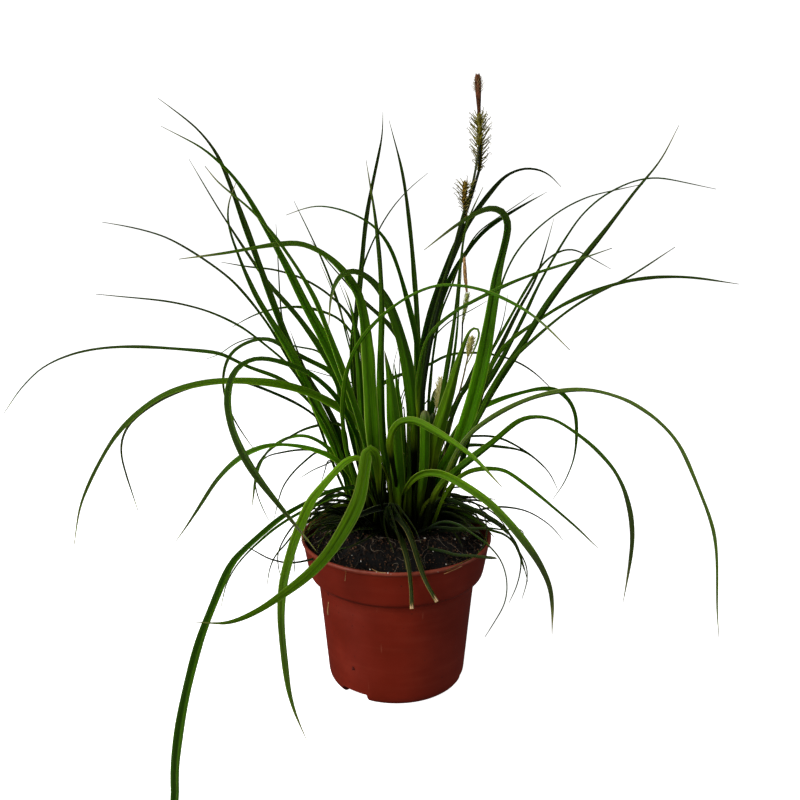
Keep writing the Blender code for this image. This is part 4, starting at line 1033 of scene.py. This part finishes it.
def lay_scales(axis, count, wide, long, lean, core, reach, bare=0.0):
    """Forms and shades of scales."""
    forms, shades = [], []
    for k in range(count):
        s = (k + 0.5) / count * 0.99
        place, ahead, out, side, full = axis.at(s, k * GOLDEN + rng.uniform(-0.15, 0.15))
        if s < bare and out[1] < -0.55:
            continue
        angle = math.radians(lean) * rng.uniform(0.8, 1.2) * (1.0 - 0.3 * s)
        along = ahead * math.cos(angle) + out * math.sin(angle)
        face = np.cross(side, along)
        width, length = wide * rng.uniform(0.85, 1.15), long * rng.uniform(0.8, 1.15)
        length = min(length, full * (reach - core) / max(math.sin(angle), 0.05))
        root = place + out * core * full
        forms.append(root + side * (scale_form[:, :1] * width) - face * (scale_form[:, 1:2] * width * 0.5)
                     + along * (scale_form[:, 2:] * length))
        # The lowest scales are the darkest.
        shades.append(rng.uniform(0.2, 1.0) * (0.3 + 0.8 * s))
    return forms, shades


def lay_threads(axis, count, thick, first, core, reach, curl, bare=0.0):
    """Forms and shades of threads, from a share of the spike's length upwards."""
    forms, shades = [], []
    for k in range(count):
        s = first + (1.0 - first) * (k + 0.5) / count
        place, ahead, out, side, full = axis.at(s, k * GOLDEN + 1.0)
        if s < bare and out[1] < -0.6:
            continue
        start = core * full
        span = full * reach * rng.uniform(0.75, 1.1) - start
        rise = span * rng.uniform(0.5, 1.2)
        bend = curl * rng.uniform(0.5, 1.2) * (1 if k % 3 else -1)
        steps = ((start * 0.5, 0.0, 0.0), (start + 0.4 * span, 0.45 * rise, 0.0),
                 (start + 0.8 * span, rise, 0.2 * bend), (start + span, rise + 0.4 * bend, 0.5 * bend),
                 (start + 0.8 * span, rise + 0.9 * bend, 0.9 * bend))
        points = [place + out * outwards + ahead * up + side * aside for outwards, up, aside in steps]
        path, = evenly(smooth_curve(points, 8), count=30)
        forms.append(round_form(thread_form, path, (thick, 0.4 * thick)))
        shades.append(rng.uniform(0.0, 1.0) * (0.6 + 0.4 * s))
    return forms, shades


def dress(name, axis, scales, threads, replaced=None):
    """Lays, joins and hands over the scales and the threads of a spike."""
    for kind, lay, form, faces, (look, *settings), node in (
            ("scales_of_", lay_scales, scale_form, scale_faces, scales, replaced),
            ("threads_of_", lay_threads, thread_form, thread_faces, threads, None)):
        forms, shades = lay(axis, *settings)
        hand_over(joined(kind + name, forms, faces, shades, form[:, 2]), look, node)


print("scales stand", round(math.degrees(GOLDEN), 1), "degrees apart")

# %% [markdown]
# The tall stalk carries a broad fruiting spike, a narrow male one above it and a small one at its side. The
# shorter stalk carries a paler pair.

# %% The five spikes
SPIKES = {
    # radii (mm) from base to tip, and how much lower the roots stand
    # scales: look, count, width, length, lean, core, reach, bare
    # threads: look, count, thickness, first, core, reach, curl, bare
    "female_spike_1": ((1.8, 5.2, 5.8, 6.0, 5.6, 4.0), 2.2, (olive_scales, 110, 1.9, 3.8, 24, 0.1, 0.46, 0.45),
                       (olive_beaks, 120, 0.38, 0.0, 0.2, 1.2, 1.7, 0.45)),
    "male_spike_1": ((1.0, 1.15, 1.4, 1.7, 1.95, 2.15, 2.25, 2.1, 1.3), 2.4,
                     (red_scales, 180, 1.1, 3.4, 7, 0.7, 1.0), (anther_threads, 70, 0.17, 0.62, 0.8, 1.75, 0.3)),
    "side_spike_1": ((0.8, 2.0, 4.4, 5.6, 5.8, 4.6), 2.4, (ochre_scales, 60, 1.8, 3.8, 24, 0.1, 0.42),
                     (olive_beaks, 64, 0.34, 0.0, 0.25, 1.2, 1.4)),
    "female_spike_2": ((0.8, 1.4, 2.2, 2.9, 3.4, 3.0), 2.5, (pale_scales, 90, 1.1, 4.2, 36, 0.2, 1.0),
                       (pale_scales, 30, 0.12, 0.1, 0.3, 1.15, 0.8)),
    "male_spike_2": ((0.8, 1.3, 1.55, 1.55, 1.3, 0.8), 1.5, (tan_scales, 90, 0.9, 2.6, 9, 0.7, 1.1),
                     (tan_scales, 10, 0.1, 0.2, 0.9, 1.3, 0.4)),
}
for name, (radii, lower, scales, threads) in SPIKES.items():
    axis = Axis(spike_lines[name][0], radii, lower)
    slim = read(axis.radii, np.linspace(0, 1, len(axis.line)))[:, 0]
    is_male = name.startswith("male")
    core = wrapped_rod("core_of_" + name, axis.line, slim * 0.7 if is_male else np.clip(slim * 0.18, 0.5, 1.1))
    hand_over(core, scales[0] if is_male else green_stem if "1" in name else dry_stem)
    dress(name, axis, scales, threads, name)
    print(name, scales[1], "scales,", threads[1], "threads")

# %% [markdown]
# The two dry stalks end in a small faded spike with spread scales. The one on `flower_4` stands in the light, so
# its scales are painted paler, as painted light, and it is bushier.

# %% Small faded spikes on the two dry stalks
FADED_RADII = np.array([0.9, 2.0, 3.0, 3.4, 3.2, 2.2])
for name, length, bushy, look in (("flower_3", 13.0, 1.0, straw_scales), ("flower_4", 20.0, 1.3, lit_scales)):
    line = stalk_lines[name][0]
    along = lengths_along(line)
    axis = Axis(line[along > along[-1] - length], bushy * FADED_RADII, 2.4)
    dress(name, axis, (look, 90, 1.4, 4.6, 46, 0.2, 1.15),
          (look, 44, 0.13 * bushy, 0.1, 0.3, 1.4, 0.7))
print("2 small faded spikes")

# %% [markdown]
# The pot is moulded plastic, thin and round: a straight body that widens to a collar and ends in a rolled lip.
# It could be spun from a profile, but one wall keeps its faces outwards more surely when it is pulled up ring by
# ring: a filled circle, then an extrude and a resize for each point of the profile, up the outside, over the lip
# and down the inside. 160 sides look round at any distance.

# %% The pot's shell
POT_OUTSIDE = [
    # radius, height in mm: foot, body, collar, lip
    (38.0, 0.0), (39.4, 0.25), (40.7, 0.8), (41.8, 1.7), (42.7, 2.9), (43.4, 4.5), (43.9, 7.0),
    (45.3, 22.0), (46.7, 38.0), (48.2, 54.0), (49.4, 66.0), (49.8, 69.2),
    (49.9, 69.5), (50.0, 70.1), (50.6, 70.8), (51.8, 71.4), (53.4, 72.3), (54.6, 73.5), (55.2, 74.6), (55.5, 75.8),
    (55.9, 77.4), (56.7, 81.7), (57.6, 86.9), (58.4, 91.8), (58.8, 94.3),
    (59.1, 94.9), (59.7, 95.2), (59.95, 95.7), (60.0, 96.4), (59.9, 96.9), (59.5, 97.3),
]
POT_INSIDE = [
    (59.0, 97.4), (58.5, 97.2), (58.1, 96.5), (57.8, 95.2), (57.5, 93.4), (56.6, 88.0), (54.7, 77.8), (53.9, 74.5),
    (52.2, 72.7), (49.4, 70.9), (48.6, 69.5), (45.4, 36.0), (43.2, 12.0), (41.8, 8.8), (38.8, 7.6),
]


def pulled_up(name, profile, sides):
    """A closed round body, pulled up ring by ring along a profile of radii and heights (mm)."""
    radius, height = profile[0]
    ops.mesh.primitive_circle_add(vertices=sides, radius=radius * MM, fill_type="NGON",
                                  location=(0, 0, height * MM))
    piece = bpy.context.active_object
    piece.name = name
    select_only(piece)
    ops.object.transform_apply(location=True)
    edit_all(piece)
    ops.mesh.select_mode(type="EDGE")
    for next_radius, next_height in profile[1:]:
        ops.mesh.extrude_edges_move(TRANSFORM_OT_translate={"value": (0, 0, (next_height - height) * MM)})
        grow = next_radius / radius
        ops.transform.resize(value=(grow, grow, 1.0), center_override=(0, 0, 0))
        radius, height = next_radius, next_height
    ops.mesh.edge_face_add()
    face_outwards(piece)
    return piece


pot = pulled_up("pot_shell", POT_OUTSIDE + POT_INSIDE, 160)
print("pot shell:", len(pot.data.polygons), "faces, size in mm", [round(side / MM, 1) for side in pot.dimensions])

# %% [markdown]
# Three low drain notches are cut into the foot, where the mould lets water out. Each is a flat box with rounded
# edges, taken away by a Boolean modifier that is applied at once. The box reaches 14 mm in, so that one sees the
# light through it.

# %% The drain notches
NOTCH = (19.0, 20.0, 12.2)
NOTCH_DISTANCE, NOTCH_ROUNDING = 38.5, 0.7
for k in range(3):
    bearing = math.radians(-128.0 + 120.0 * k)
    centre = [c * NOTCH_DISTANCE * MM for c in (math.cos(bearing), math.sin(bearing), 0.0)]
    ops.mesh.primitive_cube_add(size=1.0, location=centre, rotation=(0, 0, bearing), scale=[c * MM for c in NOTCH])
    cutter = bpy.context.active_object
    edit_all(cutter)
    ops.mesh.bevel(offset=NOTCH_ROUNDING * MM, segments=3)
    ops.object.mode_set(mode="OBJECT")
    select_only(pot)
    notch = pot.modifiers.new("notch", "BOOLEAN")
    notch.operation, notch.object, notch.solver = "DIFFERENCE", cutter, "EXACT"
    ops.object.modifier_apply(modifier="notch")
    bpy.data.objects.remove(cutter)
ops.object.shade_smooth_by_angle(angle=math.radians(38))
print("pot with notches:", len(pot.data.polygons), "faces")

# %% [markdown]
# Nursery pots are moulded from polypropylene: satin, slightly uneven in colour, with fine flow marks. This one
# has been out on a bench, so it has pale scuffs and small dark pits and dust on the lip; a painted shade lies in
# the corner under the collar, and a painted highlight on the lip. The pattern reads Object coordinates, because
# the pot is a body turned about Z.

# %% The pot's material


def pot_material():
    """Moulded polypropylene in terracotta red: satin, with scuffs, dust, a painted shade under the collar and a
    painted highlight on the lip.
    """
    made, tree = new_material("polypropylene_moulded_terracotta")
    place = add(tree, "TexCoord").outputs["Object"]
    clouds = add(tree, "TexNoise", {"Vector": place, "Scale": 28.0, "Detail": 4.0, "Roughness": 0.6})
    body = add(tree, "ValToRGB", {0: clouds}, stops=[(0.3, "#581304"), (0.55, "#621606"), (0.8, "#6C1D0A")])
    # Flow marks go round the pot: a noise squeezed along Z, 4 mm apart.
    ring_place = add(tree, "Mapping", {"Vector": place, "Scale": (20.0, 20.0, 260.0)})
    rings = add(tree, "TexNoise", {"Vector": ring_place, "Scale": 1.0, "Detail": 2.0})
    # Dark pits and specks of soil, 0.6 mm across.
    dots = add(tree, "TexVoronoi", {"Vector": place, "Scale": 210.0, "Randomness": 1.0}).outputs
    rare = add(tree, "MapRange", {0: dots["Color"], 1: 0.72, 2: 0.78, 3: 0.0, 4: 0.75})
    # Upright scuffs, pale and thin.
    scuff_place = add(tree, "Mapping", {"Vector": place, "Scale": (420.0, 420.0, 36.0)})
    scuffs = add(tree, "TexNoise", {"Vector": scuff_place, "Scale": 1.0, "Detail": 2.0})
    # A thin dark line of painted shade under the collar, strongest on the left of the front.
    x, y, height = add(tree, "SeparateXYZ", {0: place}).outputs
    bearing = add(tree, "Math", {0: y, 1: x}, operation="ARCTAN2")
    line_height = add(tree, "MapRange", {0: bearing, 1: -2.2, 2: -1.55, 3: 0.0740, 4: 0.0717})
    off_line = add(tree, "Math", {0: height, 1: line_height}, operation="SUBTRACT")
    off_line = add(tree, "Math", {0: off_line}, operation="ABSOLUTE")
    to_right = add(tree, "MapRange", {0: bearing, 1: -1.6, 2: -1.3, 3: 0.5, 4: 0.075})
    crease_shade = add(tree, "MapRange", {0: bearing, 1: -2.42, 2: -2.3, 3: 0.0, 4: to_right})
    # The lip is painted paler in patches: a painted highlight along it, with dust on it.
    lip_highlight_and_dust = add(tree, "MapRange", {0: height, 1: 0.0942, 2: 0.0956, 3: 0.0, 4: 0.6})
    dust = add(tree, "TexNoise", {"Vector": place, "Scale": 300.0, "Detail": 3.0})
    body = paint(tree, body, (rings, 0.5, 0.75, 0.0, 0.07, "#8A4230"),
                 (dots["Distance"], 0.05, 0.13, rare, 0.0, "#1C0C08"), (scuffs, 0.74, 0.8, 0.0, 0.2, "#A0664E"),
                 (off_line, 0.0002, 0.0009, crease_shade, 0.0, "#1A0704"), (dust, 0.0, 1.0, 0.0, lip_highlight_and_dust, "#94503C"))
    # Moulding grain of a few hundredths of a millimetre, drawn at 0.5 mm so that it shows.
    grain = add(tree, "TexNoise", {"Vector": place, "Scale": 900.0, "Detail": 2.0})
    waves = add(tree, "TexNoise", {"Vector": place, "Scale": 60.0, "Detail": 2.0})
    fine = add(tree, "Bump", {"Strength": 0.12, "Distance": 0.0001, "Height": grain})
    gloss = add(tree, "MapRange", {0: clouds, 1: 0.3, 2: 0.7, 3: 0.4, 4: 0.52})
    return finish_material(made, {"Height": waves, "Normal": fine}, 0.2, 0.0005, {
        "Base Color": body, "Roughness": gloss, "IOR": 1.49, "Specular IOR Level": 0.2})


hand_over(pot, pot_material(), "pot")
print("pot material:", pot.data.materials[0].name)

# %% [markdown]
# The soil is dark potting compost: it lies a few millimetres below the rim at the wall and is heaped up to the
# crown. The bed is pulled up ring by ring like the pot, then its top is roughened by a Displace modifier with a
# procedural cloud texture.

# %% The soil bed
SOIL_EDGE, SOIL_EDGE_Z = 56.3, 91.0
HEAP_RADIUS, HEAP = 30.0, 13.0


def soil_height(radius):
    share = np.clip((SOIL_EDGE - np.asarray(radius, float)) / (SOIL_EDGE - HEAP_RADIUS), 0, 1)
    return SOIL_EDGE_Z + HEAP * share * share * (3 - 2 * share)


SOIL_PROFILE = [(37.6, 8.0), (42.2, 12.6), (48.2, 69.6), (50.9, 73.7), (53.2, 75.5), (54.3, 78.5), (56.2, 90.4)]
SOIL_PROFILE += [(radius, float(soil_height(radius)))
                 for radius in (56, 54, 51.5, 49, 46, 43, 40, 37, 34, 31, 28, 24, 20, 15, 10, 5)]
soil = pulled_up("soil_bed", SOIL_PROFILE, 128)
top = soil.vertex_groups.new(name="top")
on_top = [n for n, (x, y, z) in enumerate(corners_of(soil) / MM) if z > 90.6 and math.hypot(x, y) < 55.5]
top.add(on_top, 1.0, "REPLACE")
clods = bpy.data.textures.new("soil_clods", "CLOUDS")
clods.noise_scale, clods.noise_depth = 0.005, 3
rough = soil.modifiers.new("rough", "DISPLACE")
rough.texture, rough.strength, rough.mid_level = clods, 0.0030, 0.62
rough.vertex_group, rough.texture_coords, rough.direction = "top", "LOCAL", "Z"
select_only(soil)
ops.object.modifier_apply(modifier="rough")
soil.data.shade_smooth()
print("soil bed:", len(soil.data.polygons), "faces")

# %% [markdown]
# Compost is a mix of dark crumbs, brown fibres and a few white perlite grains. Thousands of crumbs are copies of
# one 20-sided ball, each stretched and turned at random, and joined to one mesh. The perlite grains stand where
# the photo shows them, on the soil under the line of sight, and a few more at the back.

# %% Crumbs and perlite
CRUMBS, PERLITE_BEHIND, BARK_GRAINS = 4200, 14, 800
PERLITE_SEEN = ((425, 539, 0.9), (455, 540, 0.7), (464, 539, 1.0), (446, 565, 0.6), (352, 556, 0.5),
                (433, 552, 0.5), (409, 571, 0.5), (481, 546, 0.6), (361, 562, 0.6))  # u, v, radius in mm
ops.mesh.primitive_ico_sphere_add(subdivisions=1, radius=1.0)
ball = bpy.context.active_object
ball_form, ball_faces = corners_of(ball), faces_of(ball)


def crumbs(name, places, sizes, flatness=0.75):
    """Rough balls at places (mm) with radii (mm)."""
    forms = []
    turns = [Quaternion(four).normalized().to_matrix() for four in rng.normal(size=(len(places), 4))]
    for place, size, turn in zip(places, sizes, turns):
        bumpy = ball_form * rng.uniform(0.72, 1.18, (len(ball_form), 1)) * [1.0, rng.uniform(0.6, 1.0), flatness]
        forms.append(place + (bumpy * size) @ np.array(turn).T)
    return joined(name, forms, ball_faces, rng.uniform(0, 1, len(places)), np.zeros(len(ball_form)))


def above_soil(distance, turn, lift):
    """Places (mm) at a lift above the soil."""
    return np.stack([*on_ring(distance, turn), soil_height(distance) + lift], -1)


def meet(u, v, near, far, is_outside):
    """Where the line of sight through a picture point goes in (mm), found by halving the distance."""
    for _ in range(40):
        middle = 0.5 * (near + far)
        place = place_on_sight(u, v, middle)
        if is_outside(math.hypot(place[0], place[1]), place[2]):
            near = middle
        else:
            far = middle
    return place


distance = 56.0 * np.sqrt(rng.uniform(0.0, 1.0, CRUMBS))
turn = rng.uniform(0, 2 * math.pi, CRUMBS)
sizes = 0.35 + 1.1 * rng.uniform(0, 1, CRUMBS) ** 3.0
distance = np.minimum(distance, 56.4 - 1.15 * sizes)
crumb_piece = crumbs("soil_crumbs", above_soil(distance, turn, -0.1 * sizes), sizes)
crumb_piece.data.shade_flat()
grains = [(meet(u, v, 54.0, -54.0, lambda radius, height: height > soil_height(radius)), size)
          for u, v, size in PERLITE_SEEN]
# The others lie anywhere behind the clump.
for _ in range(PERLITE_BEHIND):
    turn, distance = rng.uniform(0, math.pi), rng.uniform(30, 53)
    grains.append((above_soil(distance, turn, 0.0), rng.uniform(0.4, 0.9)))
grain_places, grain_sizes = zip(*grains)
perlite = crumbs("perlite_grains", np.array(grain_places) + [0, 0, 0.4], grain_sizes, 0.9)
turn, distance = rng.uniform(-math.pi, math.pi, BARK_GRAINS), 56.0 * np.sqrt(rng.uniform(0.2, 0.95, BARK_GRAINS))
bark = crumbs("bark_grains", above_soil(distance, turn, 0.5), rng.uniform(0.3, 0.95, BARK_GRAINS), 0.5)
print(CRUMBS, "crumbs,", len(grains), "perlite grains and", BARK_GRAINS, "grains of bark")

# %% [markdown]
# Potting compost is nearly black when it is damp, with browner bits of bark and peat. Damp crumbs have a faint
# gloss. Perlite is white volcanic glass, puffed up by heat, and very matt.

# %% Materials of the soil


def crumb_material(name, dark, light, roughness, scale=500.0):
    """Damp compost or perlite: matt grains, each with its own shade."""
    made, tree = new_material(name)
    place = add(tree, "TexCoord").outputs["Object"]
    grain = add(tree, "TexNoise", {"Vector": place, "Scale": scale, "Detail": 5.0, "Roughness": 0.7})
    shade = add(tree, "Attribute", attribute_name="shade").outputs["Fac"]
    mixed = add(tree, "MapRange", {0: shade, 1: 0.0, 2: 1.0, 3: -0.18, 4: 0.18})
    mixed = add(tree, "Math", {0: mixed, 1: grain}, operation="ADD")
    body = add(tree, "ValToRGB", {0: mixed}, stops=[(0.38, dark), (0.85, light)])
    return finish_material(made, {"Height": grain}, 0.8, 0.0004, {
        "Base Color": body, "Roughness": roughness, "Specular IOR Level": 0.25})


compost = crumb_material("compost_damp", "#020101", "#33210F", 0.9)
perlite_look = crumb_material("perlite_expanded", "#A8A496", "#F2EFE6", 0.95, 900.0)
bark_look = crumb_material("bark_grain_dry", "#0C0603", "#7A5438", 0.9, 900.0)
hand_over(soil, compost, "soil")
for piece, look in ((crumb_piece, compost), (perlite, perlite_look), (bark, bark_look)):
    hand_over(piece, look)
print("soil materials:", compost.name, perlite_look.name, bark_look.name)

# %% [markdown]
# Dead leaves and roots lie on the compost. The roots are thin and dull, so they are rods with few faces, bent over
# the soil along short random paths and joined.

# %% Root fibres
FIBRES, FIBRE_REACH = 150, 55.0


def fibre_piece(name, paths, radii, look):
    """Flat threads along paths (mm), joined to one piece."""
    forms = []
    for path, radius in zip(paths, radii):
        line, = evenly(smooth_curve(path, 8), count=40)
        forms.append(round_form(thread_form, line, (radius, radius), 0.7))
    piece = joined(name, forms, thread_faces, rng.uniform(0, 1, len(forms)), thread_form[:, 2])
    hand_over(piece, look)


paths, radii = [], []
for _ in range(FIBRES):
    turn, distance = rng.uniform(0, 2 * math.pi), rng.uniform(24, 54)
    heading, length = rng.uniform(0, 2 * math.pi), rng.uniform(3, 12)
    x, y = on_ring(distance, turn)
    path = []
    for step in np.linspace(-0.5, 0.5, 5):
        place = np.array([x, y]) + on_ring(length * step, heading)
        heading += rng.uniform(-0.5, 0.5)
        place *= min(1.0, FIBRE_REACH / np.hypot(*place))
        path.append((*place, float(soil_height(np.hypot(*place))) + 0.5 + rng.uniform(0, 0.8)))
    paths.append(path)
    radii.append(rng.uniform(0.07, 0.2))
fibre_piece("root_fibres", paths, radii, scale_material("root_fibre_dry", "#1E1812", "#857866", "#5A4E40", 0.85))
print(len(paths), "fibres")

# %% [markdown]
# The pot has been handled: dark red stains stick to its wall, dry threads hang over the rim and lie on the wall,
# and crumbs of perlite lie on the lip. Two dark crumbs in the corner of a notch are painted shade. Each is found
# on the pot where its line of sight meets the wall.

# %% Specks, threads and crumbs on the pot
# The last two specks, in the corner of the front notch, are dark crumbs put there as painted shade.
SPECKS_SEEN = ((354, 667, 2.2), (353.6, 668, 1.8), (353, 615, 0.7), (352.5, 625.5, 1.0), (353, 628, 0.7),
               (337, 605.5, 0.8), (329, 593, 1.5), (330.5, 596, 0.9), (336, 607, 0.35), (372, 640, 0.25),
               (430, 655, 0.25), (401, 684, 0.25), (420, 632, 0.2), (342, 684.5, 1.6), (344, 685.5, 1.2))
LIP_CRUMBS_SEEN = ((370, 569.5, 0.55), (376.5, 572, 0.4), (388, 573, 0.45), (391, 574, 0.3), (438, 572, 0.35))
THREADS_SEEN = ((((345, 567), (346, 571), (345.5, 576), (345, 581)), 0.16),
                (((328.5, 602), (328.2, 606), (327.8, 611), (328, 615)), 0.3),
                (((444, 574), (450, 571.5), (456, 569), (462, 566)), 0.28),
                (((372, 569), (378, 572), (386, 573)), 0.22))


def on_pot(u, v, lift=0.0):
    """Where the line of sight through a picture point meets the pot's outside (mm)."""
    radii, heights = np.array(POT_OUTSIDE).T
    return meet(u, v, 80.0, -5.0, lambda radius, height: radius > np.interp(height, heights, radii) + lift)


def crumbs_on_pot(name, seen, sunk, flatness, look):
    """Crumbs at picture points, sunk into the pot by a share of their radius."""
    places = [on_pot(u, v, -sunk * size) for u, v, size in seen]
    hand_over(crumbs(name, places, [size for _, _, size in seen], flatness), look)


clay_and_notch_shade = crumb_material("clay_stain_and_notch_shade", "#3A0804", "#5A1208", 1.0)
crumbs_on_pot("clay_stains_and_notch_shade_on_pot", SPECKS_SEEN, 0.4, 0.5, clay_and_notch_shade)
crumbs_on_pot("perlite_on_lip", LIP_CRUMBS_SEEN, 0.0, 0.9, perlite_look)
paths = [[on_pot(u, v, 0.15) for u, v in seen] for seen, _ in THREADS_SEEN]
fibre_piece("threads_on_pot", paths, [radius for _, radius in THREADS_SEEN],
            scale_material("dry_straw", "#7A5A34", "#B48A5A", "#C8A878", 0.85))
print(len(SPECKS_SEEN), "specks,", len(LIP_CRUMBS_SEEN), "crumbs and", len(paths), "threads on the pot")

# %% [markdown]
# Studio: a white floor that runs out of sight, a white background for the camera, and a soft light from the upper
# left front. The background lights the leaves less than it shows, because in the photo the leaves in front of it
# stay dark. The floor and the lights aren't part of the object.

# %% Floor, light and background
ops.mesh.primitive_plane_add(size=12.0, location=(0, 0, 0))
floor = bpy.context.active_object
floor.name = "studio_floor"
floor_look, tree = new_material("paper_white_matt")
paper = add(tree, "BsdfPrincipled", {"Base Color": "#FFFFFF", "Roughness": 0.9, "Specular IOR Level": 0.0,
                                     "Emission Color": "#FFFFFF", "Emission Strength": 0.92})
add(tree, "OutputMaterial", {0: paper})
floor.data.materials.append(floor_look)
# The floor is only looked at: in the photo no light comes up from it to the leaves.
floor.visible_diffuse = False
floor.visible_glossy = False
floor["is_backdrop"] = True

world = bpy.data.worlds.new("studio")
scene.world = world
world.use_nodes = True
tree = world.node_tree
tree.nodes.clear()
rays = add(tree, "LightPath").outputs
strength = add(tree, "MapRange", {0: rays["Is Camera Ray"], 1: 0.0, 2: 1.0, 3: 0.18, 4: 1.2})
mirrored = add(tree, "Math", {0: rays["Is Glossy Ray"], 1: 0.13}, operation="MULTIPLY")
strength = add(tree, "Math", {0: strength, 1: mirrored}, operation="SUBTRACT")
sky = add(tree, "Background", {"Color": "#FFFFFF", "Strength": strength})
add(tree, "OutputWorld", {0: sky})

LIGHTS = {
    # name: place and height of what it aims at in metres, size, watts
    "key_light": ((-0.75, -0.95, 1.15), 0.15, 0.7, 21.0),
    "fill_light": ((1.1, -0.8, 0.7), 0.12, 1.2, 3.0),
    "left_light": ((-1.0, -0.6, 0.12), 0.06, 0.5, 15.5),
    "right_light": ((1.1, -0.35, 0.15), 0.06, 0.5, 4.0),
}
for name, (place, aim, size, watts) in LIGHTS.items():
    lamp = bpy.data.objects.new(name, bpy.data.lights.new(name, "AREA"))
    scene.collection.objects.link(lamp)
    lamp.data.size, lamp.data.energy = size, watts
    ahead = unit(np.array([0.0, 0.0, aim]) - np.array(place))
    lamp.location = place
    lamp.rotation_euler = (math.acos(-ahead[2]), 0.0, math.atan2(ahead[1], ahead[0]) - math.pi / 2)
scene.view_settings.view_transform = "Standard"
print(len(LIGHTS), "lights")

# %% [markdown]
# The models that were copied aren't part of the object, so they are removed.

# %% Tidy up and finish
for model in (strip, rod, scale, thread, ball):
    bpy.data.objects.remove(model)
